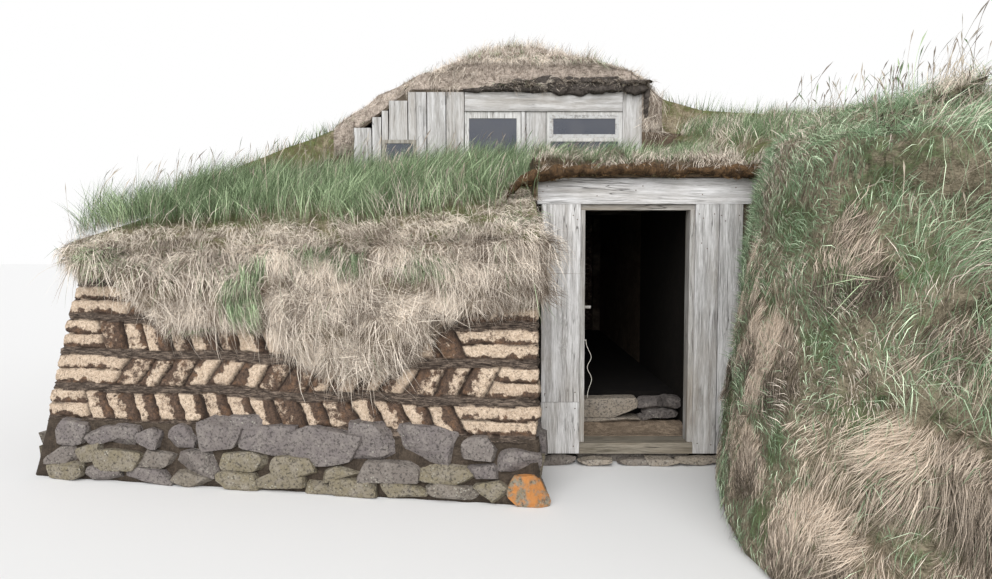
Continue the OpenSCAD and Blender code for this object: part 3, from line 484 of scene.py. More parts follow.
@dataclass(frozen=True)
class WornPaint(Finish):
    """Pale paint, mostly flaked off grey timber."""

    slot: str = "worn_paint"
    paint: Colour = (0.52, 0.52, 0.515)

    def fill(self, b: Board, shader: bpy.types.Node) -> None:
        """Paint shows where a blotchy noise is high."""
        v = self.place(b)
        turned = b.add("ShaderNodeMapping", {"Vector": v, "Rotation": (0.0, math.pi / 2, 0.0)}).outputs[0]
        grain = b.add("ShaderNodeGroup", {"Vector": turned}, node_tree=grain_group())
        flakes = b.ramp(b.noise(v, 38.0, 5.0, 0.7), 0.42, 0.5)
        colour = b.mix(flakes, grain.outputs["Colour"], self.paint)
        height = b.plus(b.times(grain.outputs["Height"], 0.4), flakes)
        shader.inputs["Roughness"].default_value = 0.6
        self.put(b, shader, colour, height, 0.001)


@dataclass(frozen=True)
class WindowGlass(Finish):
    """Old dusty glass before a dark room."""

    slot: str = "window_glass"
    tint: Colour = (0.018, 0.022, 0.036)

    def fill(self, b: Board, shader: bpy.types.Node) -> None:
        """Dark glass with dust that thickens in blotches."""
        v = self.place(b)
        dust = b.ramp(b.noise(v, 4.0, 5.0, 0.6), 0.25, 0.85)
        colour = b.mix(b.times(dust, 0.4), self.tint, (0.065, 0.078, 0.11))
        b.tree.links.new(colour, shader.inputs["Base Color"])
        b.tree.links.new(b.plus(b.times(dust, 0.35), 0.08), shader.inputs["Roughness"])
        shader.inputs["Specular IOR Level"].default_value = 0.3


@dataclass(frozen=True)
class TurfBlocks(Finish):
    """Cut turf: a pale fibrous band, a rusty band and dark layered strips, by values stored on the wall."""

    slot: str = "turf_wall"
    cream: Colour = (0.84, 0.70, 0.55)
    tan: Colour = (0.34, 0.25, 0.175)
    rust: Colour = (0.155, 0.10, 0.07)
    orange: Colour = (0.24, 0.135, 0.075)
    dark: Colour = (0.030, 0.022, 0.018)

    def fill(self, b: Board, shader: bpy.types.Node) -> None:
        """Mixes the bands by the stored values and breaks them up with fibres and specks."""
        v = self.place(b)
        fibre = b.add("ShaderNodeGroup", {"Vector": v}, node_tree=fibre_group())
        mask = fibre.outputs["Mask"]
        tone = b.attribute("tone")
        blotch = b.ramp(b.noise(v, 75.0, 5.0, 0.75), 0.36, 0.64)
        pale = b.mix(mask, self.tan, self.cream)
        pale = b.mix(b.times(blotch, 0.5), pale, (0.50, 0.385, 0.28))
        pale = b.mix(b.times(tone, 0.35), pale, (0.40, 0.29, 0.21))
        rust = b.mix(mask, self.dark, self.rust)
        rust = b.mix(b.times(b.ramp(b.noise(v, 14.0, 4.0, 0.7), 0.50, 0.66), 0.45), rust, self.orange)
        uneven = b.times(b.minus(b.noise(v, 26.0, 5.0, 0.75), 0.5), 2.3)
        share = b.plus(b.attribute("pale"), uneven)
        colour = b.mix(b.ramp(share, 0.30, 0.70), rust, pale)
        thin = b.noise(b.stretched(v, (1.0, 1.0, 8.0)), 17.0, 5.0, 0.75)
        layers = b.mix(b.ramp(thin, 0.40, 0.68), (0.035, 0.026, 0.021), (0.27, 0.21, 0.165))
        colour = b.mix(b.attribute("strip"), colour, layers)
        specks = b.ramp(b.noise(v, 70.0, 6.0, 0.9), 0.50, 0.38)
        colour = b.mix(b.times(specks, 0.8), colour, self.dark)
        colour = b.mix(b.attribute("gap"), colour, self.dark)
        height = b.plus(fibre.outputs["Height"], b.times(thin, b.attribute("strip")))
        self.put(b, shader, colour, height, 0.008)


@dataclass(frozen=True)
class Earth(Finish):
    """Trodden or cut earth with small stones and roots."""

    slot: str = "turf_core"
    light: Colour = (0.21, 0.155, 0.11)
    dark: Colour = (0.06, 0.043, 0.031)

    def fill(self, b: Board, shader: bpy.types.Node) -> None:
        """Fibres over broad blotches."""
        v = self.place(b)
        fibre = b.add("ShaderNodeGroup", {"Vector": b.stretched(v, (0.5, 0.5, 0.5))}, node_tree=fibre_group())
        broad = b.ramp(b.noise(v, 5.0, 4.0, 0.65), 0.35, 0.65)
        colour = b.mix(fibre.outputs["Mask"], self.dark, self.light)
        colour = b.mix(b.times(broad, 0.5), colour, self.dark)
        self.put(b, shader, colour, fibre.outputs["Height"], 0.01)


@dataclass(frozen=True)
class Thatch(Finish):
    """Matted dead grass with moss and green in it, under the standing blades."""

    slot: str = "grass_sod"
    straw: Colour = (0.42, 0.36, 0.25)
    shade: Colour = (0.13, 0.10, 0.06)
    green: Colour = (0.17, 0.21, 0.075)
    share: float = 0.5

    def fill(self, b: Board, shader: bpy.types.Node) -> None:
        """Straw fibres, green where a broad noise is high."""
        v = self.place(b)
        fibre = b.add("ShaderNodeGroup", {"Vector": b.stretched(v, (0.45, 0.45, 0.45))}, node_tree=fibre_group())
        patches = b.ramp(b.noise(v, 3.2, 5.0, 0.7), 0.68 - 0.36 * self.share, 0.80 - 0.36 * self.share)
        light = b.mix(patches, self.straw, self.green)
        colour = b.mix(fibre.outputs["Mask"], self.shade, light)
        self.put(b, shader, colour, fibre.outputs["Height"], 0.03)


@dataclass(frozen=True)
class Blades(Finish):
    """Grass blades: the first coordinate picks a colour from dead straw to green, the second runs to the tip."""

    slot: str = "grass_sod"
    straw_dark: Colour = (0.135, 0.10, 0.072)
    straw_light: Colour = (0.94, 0.84, 0.72)
    green_dark: Colour = (0.11, 0.16, 0.08)
    green_light: Colour = (0.61, 0.76, 0.47)

    def fill(self, b: Board, shader: bpy.types.Node) -> None:
        """Straw below 0.5 and green above, with painted shade that darkens each blade towards its root."""
        uv = b.add("ShaderNodeSeparateXYZ", {0: b.add("ShaderNodeUVMap", uv_map="UVMap").outputs[0]})
        pick, along = uv.outputs[0], uv.outputs[1]
        straw = b.mix(b.ramp(pick, 0.0, 0.5), self.straw_dark, self.straw_light)
        green = b.mix(b.ramp(pick, 0.5, 1.0), self.green_light, self.green_dark)
        colour = b.mix(b.math("GREATER_THAN", pick, 0.5), straw, green)
        # Painted shade at the root, where the blades shade each other: the colour is multiplied down to about 0.4
        # there.
        root = b.mix(b.ramp(along, 0.0, 0.4), (0.42, 0.36, 0.28), (1.0, 1.0, 1.0))
        shaded = b.add("ShaderNodeMix", {0: 1.0}, data_type="RGBA", blend_type="MULTIPLY")
        b.tree.links.new(colour, shaded.inputs[6])
        b.tree.links.new(root, shaded.inputs[7])
        b.tree.links.new(shaded.outputs[2], shader.inputs["Base Color"])
        shader.inputs["Roughness"].default_value = 0.7


@dataclass(frozen=True)
class FieldStone(Finish):
    """Broken basalt with lichen; tone picks blue grey, tan or orange."""

    slot: str = "field_stone"
    grey: Colour = (0.160, 0.139, 0.135)
    tan: Colour = (0.205, 0.176, 0.118)
    orange: Colour = (0.46, 0.20, 0.065)

    def fill(self, b: Board, shader: bpy.types.Node) -> None:
        """Grain and blotches over the stone's own tone, and pale lichen spots."""
        v = self.place(b)
        tone = b.attribute("tone")
        base = b.mix(b.ramp(tone, 0.35, 0.65), self.grey, self.tan)
        blotch = b.ramp(b.noise(v, 13.0, 5.0, 0.7), 0.35, 0.7)
        base = b.mix(b.times(blotch, 0.5), base, (0.31, 0.28, 0.25))
        pits = b.ramp(b.noise(v, 60.0, 4.0, 0.7), 0.48, 0.66)
        base = b.mix(b.times(pits, 0.8), base, (0.035, 0.031, 0.030))
        spots = b.add("ShaderNodeTexVoronoi", {"Vector": v, "Scale": 46.0})
        lichen = b.times(b.ramp(spots.outputs["Distance"], 0.30, 0.2), b.ramp(b.noise(v, 7.0, 3.0), 0.5, 0.62))
        base = b.mix(b.times(lichen, 0.6), base, (0.40, 0.385, 0.33))
        burnt = b.times(b.ramp(tone, 0.85, 0.95), b.ramp(b.noise(v, 18.0, 4.0), 0.4, 0.6))
        base = b.mix(burnt, base, self.orange)
        self.put(b, shader, base, b.plus(b.noise(v, 34.0, 6.0, 0.75), blotch), 0.006)


@dataclass(frozen=True)
class String(Finish):
    """Frayed off-white string."""

    slot: str = "string"

    def fill(self, b: Board, shader: bpy.types.Node) -> None:
        """Strands as a slanting wave."""
        v = self.place(b)
        wave = b.noise(b.stretched(v, (1.0, 1.0, 0.5)), 900.0, 2.0)
        self.put(b, shader, b.mix(b.ramp(wave, 0.4, 0.6), (0.50, 0.46, 0.38), (0.85, 0.83, 0.76)), wave, 0.001)


@dataclass(frozen=True)
class Iron(Finish):
    """Rusty nails and corner irons."""

    slot: str = "door_timber"

    def fill(self, b: Board, shader: bpy.types.Node) -> None:
        """Brown and grey rust."""
        v = self.place(b)
        rust = b.noise(v, 300.0, 3.0)
        self.put(b, shader, b.mix(b.ramp(rust, 0.4, 0.6), (0.05, 0.04, 0.035), (0.20, 0.13, 0.09)), rust, 0.0005)


# Turf walls

@dataclass(frozen=True)
class Face:
    """One straight face of the wall line: outward direction in plan, place of its foot line and its lean."""

    outward: tuple[float, float]
    through: tuple[float, float]
    lean: float
    pitch: float = 0.4


SKEW = math.radians(10)
FRONT_CORNER = (-0.76, -0.9)
LEFT_X, LEFT_Y = -4.256, -0.2836
BACK_CORNER = (3.0, 6.4)
ROOM_X, ROOM_Y = -2.467, 5.25
FRONT_PITCH = 0.175
END = Face((1.0, 0.0), FRONT_CORNER, 0.0, FRONT_PITCH)
FRONT = Face((-math.sin(SKEW), -math.cos(SKEW)), FRONT_CORNER, math.radians(7), FRONT_PITCH)
LEFT = Face((-1.0, 0.0), (LEFT_X, LEFT_Y), math.radians(11))
BACK = Face((0.0, 1.0), BACK_CORNER, math.radians(8))


@dataclass
class WallLine:
    """Outline of the coursed walls in plan, drawn in as it rises by the lean of each face."""

    faces: tuple[Face, ...] = (END, FRONT, LEFT, BACK)
    start: tuple[float, float] = (-0.76, 0.0647)
    end: tuple[float, float] = BACK_CORNER
    foot: float = 0.42
    course: float = 0.2326
    strip: float = 0.045
    rounding: float = 0.045

    def corners(self, z: float) -> Array:
        """Corner points at a height: the first and last points and where neighbouring faces meet.

        Each face is the line outward . p = outward . through - z * tan(lean).
        """
        points = [np.array(self.start)]
        for a, b in zip(self.faces, self.faces[1:]):
            m = np.array([a.outward, b.outward])
            c = [np.dot(f.outward, f.through) - z * math.tan(f.lean) for f in (a, b)]
            points.append(np.linalg.solve(m, c))
        last = self.faces[-1]
        points.append(np.array(self.end) - z * math.tan(last.lean) * np.array(last.outward))
        return np.array(points)

    def lengths(self) -> Array:
        """Length of each face at its foot."""
        c = self.corners(0.0)
        return np.linalg.norm(np.diff(c, axis=0), axis=1)

    def starts(self) -> Array:
        """Distance along the line at which each face starts, with the full length last."""
        return np.concatenate([[0.0], np.cumsum(self.lengths())])

    def plain(self, u: Array, z: Array) -> Array:
        """Points on the sharp-cornered line at distance u and height z: corners are joined by straight lines."""
        low, high = self.corners(0.0), self.corners(1.0)
        starts = self.starts()
        k = np.clip(np.searchsorted(starts, u, side="right") - 1, 0, len(self.faces) - 1)
        t = (u - starts[k]) / (starts[k + 1] - starts[k])
        z = z[..., None]
        a = low[k] + (high[k] - low[k]) * z
        b = low[k + 1] + (high[k + 1] - low[k + 1]) * z
        return a + (b - a) * t[..., None]

    def at(self, u: Array, z: Array, out: Array) -> Array:
        """Points of the wall: a weighted mean of three places along the line rounds its corners.

        The point is then moved outwards, at right angles to the line between the places just before and after it.

        Args:
            u: Distance along the line.
            z: Height.
            out: Distance outwards.
        Returns:
            Points in space.
        """
        full = self.starts()[-1]
        ends = [np.clip(u + d, 0.0, full) for d in (-self.rounding, 0.0, self.rounding)]
        inside = (u > self.rounding) & (u < full - self.rounding)
        three = [self.plain(np.where(inside, e, u), z) for e in ends]
        middle = (three[0] + 2 * three[1] + three[2]) / 4
        reach = 0.03
        ahead = self.plain(np.clip(u + reach, 0.0, full), z) - self.plain(np.clip(u - reach, 0.0, full), z)
        outward = unit(np.stack([-ahead[..., 1], ahead[..., 0]], axis=-1))
        return np.concatenate([middle + outward * out[..., None], z[..., None]], axis=-1)


@dataclass
class Coursing:
    """Herringbone blocks between flat strips, with long flat blocks at the corners.

    Lengths are in metres. The courses rise and fall by the wave and the ripple, joints sway along their length and
    shift along the course, edges round over the worn width, and the joint is that much deeper than a block.
    """

    line: WallLine
    lean: float = math.tan(math.radians(30))
    corner_long: float = 0.48
    corner_short: float = 0.36
    wave: float = 0.020
    ripple: float = 0.007
    sway: float = 0.012
    shift: float = 0.013
    worn: float = 0.020
    joint: float = 0.034
    layer: float = 0.0135
    jut: float = 0.018

    def layout(self, u: Array, z: Array) -> dict[str, Array]:
        """Works out what lies at each place of the wall.

        The height, moved by slow noise, gives the course and the place in it. The upper part of each course is
        the strip, whose thin layers are a sine of the height; below it lie the blocks.

        Args:
            u: Distance along the wall line.
            z: Height.
        Returns:
            How far the surface stands out, and the values pale, tone, strip and gap.
        """
        line = self.line
        p = np.stack([u, z, np.zeros_like(u)], axis=-1)
        slow, quick = lattice_noise(p * np.array([1.9, 0.6, 1.0]), 3), lattice_noise(p * 12.0, 4)
        wavy = z + self.wave * slow + self.ripple * quick
        rise = line.course - line.strip * (1.25 + 0.5 * lattice_noise(p * np.array([3.3, 1.0, 1.0]), 6))
        k = np.floor((wavy - line.foot) / line.course).astype(int)
        up = wavy - line.foot - k * line.course
        is_strip = up > rise
        fine = 0.005 * layered_noise(p * 70.0, 31, 2)
        block, edge, pale, tone = self.blocks(p, k, up, rise, fine)
        layer = np.sin(wavy * 2 * math.pi / self.layer + 3.0 * lattice_noise(p * 9.0, 41))
        jut = self.jut * lattice_noise(p * np.array([7.0, 30.0, 1.0]), 42)
        strips = -0.004 + 0.005 * layer + jut + fine
        gap = np.where(is_strip, 0.25 * (layer < -0.3), 1.0 - smooth_step(0.0, 0.014, edge))
        return {"out": np.where(is_strip, strips, block), "pale": np.where(is_strip, 0.0, pale), "tone": tone,
                "strip": np.where(is_strip, 1.0, 0.0), "gap": gap}

    def blocks(self, p: Array, k: Array, up: Array, rise: Array, fine: Array) -> tuple[Array, Array, Array, Array]:
        """Blocks of the courses.

        The place along the face less the slant of the course gives the block, and the distances to its joints
        give the rounding of its edges. Each block's cell picks its tone, its bulge and the width of its pale band.

        Args:
            p: Distance along the wall line, height and 0.
            k: Number of the course.
            up: Height in the course.
            rise: Height of the blocks in it.
            fine: Fine roughness that is added to the blocks.
        Returns:
            How far the blocks stand out, the distance to the nearest edge, and the values pale and tone.
        """
        line, u = self.line, p[..., 0]
        starts = line.starts()
        face = np.clip(np.searchsorted(starts, u, side="right") - 1, 0, len(line.faces) - 1)
        pitch = np.array([f.pitch for f in line.faces])[face]
        length = (starts[1:] - starts[:-1])[face]
        even = k % 2 == 0
        side = np.where(even, 1.0, -1.0)
        sway = self.sway * lattice_noise(p * np.array([6.0, 9.0, 1.0]), 5)
        slant = u - starts[face] - side * self.lean * up + sway
        long_end = np.where(even, self.corner_long, self.corner_short)
        short_end = np.where(even, self.corner_short, self.corner_long)
        first = np.where(face > 0, long_end, -pitch / 2)
        last = length - np.where(face < len(line.faces) - 1, short_end, -pitch / 2)
        count = np.maximum(1, np.round((last - first) / pitch))
        width = (last - first) / count

        def seam(i: Array) -> Array:
            """Place of seam i along the course."""
            moved = self.shift * np.sin(i * 97.0 + k * 61.0)
            return first + i * width + np.where((i <= 0) | (i >= count), 0.0, moved)

        i = np.clip(np.floor((slant - first) / width), 0, count - 1)
        i = np.where(slant < seam(i), i - 1, np.where(slant >= seam(i + 1), i + 1, i))
        i = np.clip(i, 0, count - 1)
        a = slant - seam(i)
        b = seam(i + 1) - slant
        flat = (slant < first) | (slant >= last)
        half = np.where(up > rise / 2, 1.0, 0.0)
        upright = 0.87  # turns a distance along the face into one across a leaning joint
        near_side = np.where(flat, np.minimum(np.abs(slant - first), np.abs(slant - last)), np.minimum(a, b)) * upright
        near_level = np.minimum(up, rise - up)
        near_level = np.where(flat, np.minimum(near_level, np.abs(up - rise / 2)), near_level)
        rough = layered_noise(p * 22.0, 11, 3)
        edge = np.minimum(near_side * 0.9, near_level * 1.4 + 0.004) + 0.004 * rough
        cell = np.stack([i + 37 * face + 1000 * flat, k, half * flat], axis=-1).astype(np.int64)
        tone, ratio, strength, lump, chance = (hashed(cell, seed) for seed in (21, 22, 23, 24, 25))
        across = np.where(side > 0, a, b) / np.maximum(a + b, 1e-6)
        ratio = 0.34 + 0.14 * ratio
        pale = smooth_step(ratio - 0.14, ratio + 0.14, across + 0.24 * rough)
        level = np.where(half > 0, up - rise / 2, up) / (rise / 2)
        pale = pale * (0.72 + 0.28 * strength) * np.where(chance < -0.6, 0.45, 1.0)
        pale = np.where(flat, smooth_step(0.10, 0.42, level + 0.34 * rough) * (0.85 + 0.15 * strength), pale)
        bulge = 0.012 * lump + 0.006 * pale + 0.009 * rough
        out = bulge + fine - self.joint * (1.0 - smooth_step(0.0, self.worn, edge))
        return out, edge, pale, 0.5 + 0.5 * tone


@dataclass
class TurfWalls:
    """The coursed turf walls: one solid for the front, one for the left side and one for the back."""

    line: WallLine = field(default_factory=WallLine)
    foot: float = 0.375
    y_house: float = 2.2
    inner_x: float = ROOM_X
    inner_y: float = ROOM_Y

    @staticmethod
    def wing_top(x: Array, y: Array) -> Array:
        """Height of the wing's walls under its sods: a plane that rises to the back and falls to the left."""
        right, left = 1.6, 1.5
        sy = 0.55 / 3.1
        sx = (right + sy * 0.6164 - left) / 3.496
        return right + sx * (x + 0.76) + sy * (y + 0.9)

    @staticmethod
    def room_top(x: Array, y: Array) -> Array:
        """Height of the walls round the room under their sods: the lowest of three planes."""
        left = 2.56 + 0.32 * (x - ROOM_X)
        back = 2.90 - 0.32 * (y - ROOM_Y)
        right = 2.75 - 0.05 * (x - 0.445)
        return np.minimum(np.minimum(left, back), right)

    def solid(self, u: Array, rows: int, top: Callable[[Array, Array], Array], inner: Array) -> Surface:
        """Closed wall: a displaced outer surface, and flat ends, top, bottom and inner side.

        The outer surface is the point of the wall line at each distance u and at heights spaced evenly from the
        foot to the sloping top, moved outwards by the coursing.

        Args:
            u: Distances along the wall line.
            rows: Number of heights.
            top: Height of the top at a place in plan.
            inner: Plan points of the inner side, from the end of the outer line back to its start.
        Returns:
            The wall's surface.
        """
        z = np.full_like(u, 1.6)
        for _ in range(4):
            place = self.line.at(u, z, np.zeros_like(u))
            z = top(place[:, 0], place[:, 1])
        v = np.linspace(0.0, 1.0, rows)[:, None]
        zz = self.foot + (z[None, :] - self.foot) * v
        uu = np.broadcast_to(u, zz.shape)
        marks = Coursing(self.line).layout(uu, zz)
        points = self.line.at(uu, zz, marks.pop("out")).reshape(-1, 3)
        points, faces = closed_wall(points, rows, inner, np.full(len(inner), self.foot), top(inner[:, 0], inner[:, 1]))
        values = {k: np.concatenate([mark.ravel(), np.full(2 * len(inner), 0.3)]) for k, mark in marks.items()}
        return Surface(points, faces, None, values)

    def build(self) -> None:
        """Makes the three walls."""
        finish = TurfBlocks()
        starts = self.line.starts()
        left_front = starts[2] + 0.95
        left_house = starts[2] + self.y_house - LEFT_Y
        left_room = starts[2] + self.inner_y - LEFT_Y
        front = np.concatenate([np.linspace(0.0, starts[1], 48)[:-1], np.linspace(starts[1], starts[2], 380)[:-1],
                                np.linspace(starts[2], left_front, 50)])
        inner = np.array([[self.inner_x, 0.366], [self.inner_x, 0.366], [-0.80, 0.0718]])
        make_piece("front_wall_turf", self.solid(front, 110, self.wing_top, inner), finish, ("wall_front",))
        side = np.linspace(left_front, left_house, 84)
        inner = np.array([[self.inner_x, self.y_house], [self.inner_x, 0.666]])
        make_piece("wing_side_turf", self.solid(side, 50, self.wing_top, inner), finish, ("wall_left_front",))
        side = np.linspace(left_house, left_room, 100)
        inner = np.array([[self.inner_x, self.inner_y], [self.inner_x, self.y_house]])
        make_piece("room_side_turf", self.solid(side, 60, self.room_top, inner), finish, ("wall_left_room",))
        back = np.concatenate([np.linspace(left_room, starts[3], 48)[:-1], np.linspace(starts[3], starts[4], 170)])
        inner = np.array([[BACK_CORNER[0], self.inner_y], [self.inner_x, self.inner_y]])
        make_piece("back_wall_turf", self.solid(back, 54, self.room_top, inner), finish, ("wall_back",))


# Stones

@dataclass
class Stones:
    """Broken slabs: each is a box with softened edges, skewed and chipped by planes."""

    side: int = 7
    high: int = 6
    chips: int = 9
    skew: float = 0.30

    def box(self) -> Array:
        """Rings of points on a box from -1 to 1: square rings down its sides, drawn in on its top and bottom."""
        t = np.linspace(-1.0, 1.0, self.side, endpoint=False)
        one = np.ones_like(t)
        ring = np.concatenate([np.stack([t, -one], -1), np.stack([one, t], -1), np.stack([-t, one], -1),
                               np.stack([-one, -t], -1)])
        draw = np.array([0.35, 0.72, 0.93])
        level = np.linspace(1.0, -1.0, self.high)
        scale = np.concatenate([draw, np.ones(self.high), draw[::-1]])
        z = np.concatenate([np.ones(3), level, -np.ones(3)])
        flat = ring[None] * scale[:, None, None]
        return np.concatenate([flat, np.broadcast_to(z[:, None, None], (*flat.shape[:2], 1))], axis=-1)

    def slabs(self, centres: Array, sizes: Array, turns: Array, tones: Array, seed: int) -> Surface:
        """Makes one slab at each centre.

        The box's points are divided by their own 14-norm, which softens edges, skewed by random shares of the
        other axes, pressed onto each chip plane that they lie beyond, scaled, roughened and turned.

        Args:
            centres: Middle of each slab.
            sizes: Full size of each slab.
            turns: Turn of each slab about Z, in radians.
            tones: Tone of each slab, from 0 to 1.
            seed: Whole number that picks the shapes.
        Returns:
            One surface with all the slabs.
        """
        rng = np.random.default_rng(seed)
        n = len(centres)
        rings = self.box()
        rows, columns = rings.shape[:2]
        unit_box = rings.reshape(-1, 3)
        unit_box = unit_box / np.maximum(np.sum(np.abs(unit_box) ** 14, axis=-1, keepdims=True) ** (1 / 14), 1e-6)
        flat = np.abs(rings.reshape(-1, 3)).max(axis=-1, keepdims=True)
        p = np.broadcast_to(unit_box * flat, (n, rows * columns, 3)).copy()
        skew = rng.uniform(-self.skew, self.skew, (n, 1, 6))
        x, y, z = p[..., 0], p[..., 1], p[..., 2]
        p = np.stack([x * (1 + skew[..., 0] * z) + 0.35 * skew[..., 2] * z, y * (1 + 0.5 * skew[..., 3] * x),
                      z * (1 + 1.2 * skew[..., 4] * x) + 0.5 * skew[..., 5] * x], axis=-1)
        for _ in range(self.chips):  # the chips are few, and each is one array operation over all the stones
            normal = unit(rng.normal(size=(n, 1, 3)) * np.array([1.0, 0.5, 0.9]))
            beyond = np.maximum(0.0, np.sum(p * normal, axis=-1, keepdims=True) - rng.uniform(0.74, 1.15, (n, 1, 1)))
            p = p - normal * beyond
        p = p * sizes[:, None, :] / 2
        rough = [layered_noise((p + centres[:, None, :]) * 17.0, seed + 60 + i, 3) for i in range(3)]
        p = p + 0.006 * np.stack(rough, axis=-1)
        c, s = np.cos(turns)[:, None], np.sin(turns)[:, None]
        p = np.stack([p[..., 0] * c - p[..., 1] * s, p[..., 0] * s + p[..., 1] * c, p[..., 2]], axis=-1)
        p = p + centres[:, None, :]
        p[..., 2] = np.maximum(p[..., 2], 0.002)
        start = (np.arange(n) * rows * columns)[:, None, None]
        sides = (grid_faces(rows, columns, wrap=True)[None, :, ::-1] + start).reshape(-1, 4)
        top = (np.arange(columns)[None, None] + start).reshape(-1, columns)
        bottom = ((rows - 1) * columns + np.arange(columns)[::-1][None, None] + start).reshape(-1, columns)
        return Surface(p.reshape(-1, 3), [sides, top, bottom], None, {"tone": np.repeat(tones, rows * columns)})


FRONT_STONES = (
    (1.42, 0.28, 0.44, 0.22), (1.09, 0.32, 0.31, 0.24), (0.72, 0.31, 0.44, 0.23), (1.85, 0.31, 0.40, 0.16),
    (1.97, 0.41, 0.27, 0.09), (2.17, 0.33, 0.29, 0.22), (2.47, 0.30, 0.24, 0.15), (2.87, 0.29, 0.22, 0.13),
    (2.69, 0.28, 0.20, 0.13), (3.06, 0.28, 0.22, 0.14), (3.29, 0.29, 0.24, 0.16),
    (3.34, 0.15, 0.24, 0.13), (3.13, 0.16, 0.22, 0.14), (2.91, 0.15, 0.33, 0.13), (2.61, 0.16, 0.30, 0.12),
    (2.31, 0.17, 0.33, 0.14), (1.96, 0.17, 0.35, 0.14), (1.61, 0.16, 0.31, 0.14), (1.30, 0.14, 0.29, 0.09),
    (0.96, 0.17, 0.36, 0.12), (0.60, 0.17, 0.38, 0.12), (0.16, 0.25, 0.32, 0.13), (0.36, 0.19, 0.20, 0.09),
    (0.38, 0.32, 0.22, 0.13), (2.03, 0.05, 0.33, 0.12), (1.71, 0.06, 0.34, 0.11), (1.44, 0.05, 0.24, 0.09),
    (1.19, 0.05, 0.31, 0.11), (0.86, 0.06, 0.30, 0.10), (0.55, 0.06, 0.32, 0.11), (0.29, 0.08, 0.26, 0.12),
    (0.07, 0.09, 0.24, 0.18), (2.34, 0.05, 0.30, 0.10), (2.66, 0.05, 0.32, 0.10), (2.98, 0.05, 0.30, 0.11),
    (3.27, 0.06, 0.28, 0.12))


@dataclass
class Footing:
    """Broken slabs along the foot of the walls, with earth between them."""

    line: WallLine = field(default_factory=WallLine)
    height: float = 0.395
    proud: float = 0.035
    sunk: float = 0.03

    def lay(self, u: Array, z: Array, wide: Array, high: Array, tone: Array, seed: int, shape: Stones) -> Surface:
        """Stones at distances u along the wall line, turned to it, with their faces a little proud."""
        rng = np.random.default_rng(seed)
        n = len(u)
        deep = rng.uniform(0.16, 0.24, n)
        out = self.proud + rng.uniform(0.005, 0.04, n) - deep / 2
        centre = self.line.at(u, z, out)
        ahead = self.line.plain(u + 0.02, z) - self.line.plain(u - 0.02, z)
        turn = np.arctan2(ahead[:, 1], ahead[:, 0]) + math.pi + rng.uniform(-0.07, 0.07, n)
        return shape.slabs(centre, np.column_stack([wide, deep, high]), turn, tone, seed)

    def course(self, u0: float, u1: float, z0: float, z1: float, mean: float, tone: tuple[float, float], seed: int,
               shape: Stones) -> Surface:
        """One row of stones between two heights, with widths that are random shares of the run."""
        rng = np.random.default_rng(seed)
        n = max(2, round((u1 - u0) / mean))
        share = rng.uniform(0.6, 1.5, n)
        edges = u0 + (u1 - u0) * np.concatenate([[0.0], np.cumsum(share) / share.sum()])
        wide = (edges[1:] - edges[:-1]) * 1.04
        high = (z1 - z0) * rng.uniform(0.95, 1.3, n)
        z = (z0 + z1) / 2 + rng.uniform(-0.012, 0.012, n)
        return self.lay((edges[1:] + edges[:-1]) / 2, z, wide, high, rng.uniform(*tone, n), seed, shape)

    def earth(self) -> Surface:
        """Earth behind the stones: the wall line pushed in and out by noise, closed at its top and bottom.

        The outer face is the wall line at each height, moved out by the footing's stand less the sinking.
        """
        rows = 10
        uu, zz = np.meshgrid(np.linspace(0.0, self.line.starts()[-1], 420), np.linspace(0.0, self.height, rows))
        rough = layered_noise(np.stack([uu, zz, 0 * uu], -1) * 9.0, 71, 3)
        outer = self.line.at(uu, zz, self.proud - self.sunk + 0.015 * rough).reshape(-1, 3)
        inner = np.array([[3.0, 5.2], [-2.4, 5.2], [-2.4, 0.4], [-0.76, 0.10]])
        foot, top = np.zeros(len(inner)), np.full(len(inner), self.height)
        return Surface(*closed_wall(outer, rows, inner, foot, top))

    def build(self) -> None:
        """Makes the footing's stones and the earth behind them."""
        starts = self.line.starts()
        fine, plain = Stones(side=7, high=6), Stones(side=2, high=2)
        table = np.array(FRONT_STONES)
        upper = table[:, 1] > 0.22
        rng = np.random.default_rng(9)
        tone = np.where(upper, rng.uniform(0.0, 0.42, len(table)), rng.uniform(0.35, 0.78, len(table)))
        tone[table[:, 0] < 0.1] = 0.98
        z = table[:, 1] + np.where(upper, 0.022, 0.0)
        front = self.lay(starts[1] + table[:, 0], z, table[:, 2] * 1.08, table[:, 3] * 1.14, tone, 5, fine)
        rows = [(0.0, 0.105, 0.25, (0.35, 0.8)), (0.10, 0.19, 0.27, (0.45, 0.8)), (0.185, 0.275, 0.28, (0.3, 0.75)),
                (0.27, 0.415, 0.30, (0.0, 0.42))]
        runs = [(0.0, starts[1] - 0.10, 1.0, 110), (starts[2] + 0.08, starts[3] - 0.08, 1.1, 120),
                (starts[3] + 0.08, starts[4] - 0.03, 1.1, 130)]
        sides = [self.course(u0, u1, z0, z1, mean * wider, tones, seed + i, plain)
                 for i, (z0, z1, mean, tones) in enumerate(rows) for u0, u1, wider, seed in runs]
        make_piece("front_footing_stones", front, FieldStone(), smooth=False)
        make_piece("side_footing_stones", joined(sides), FieldStone(), smooth=False)
        # Painted shade: the earth is darker than the walls' earth, for the dark gaps between the stones.
        shaded_soil = Earth(light=(0.10, 0.077, 0.057), dark=(0.028, 0.021, 0.016))
        make_piece("footing_earth", self.earth(), shaded_soil, ("footing",))


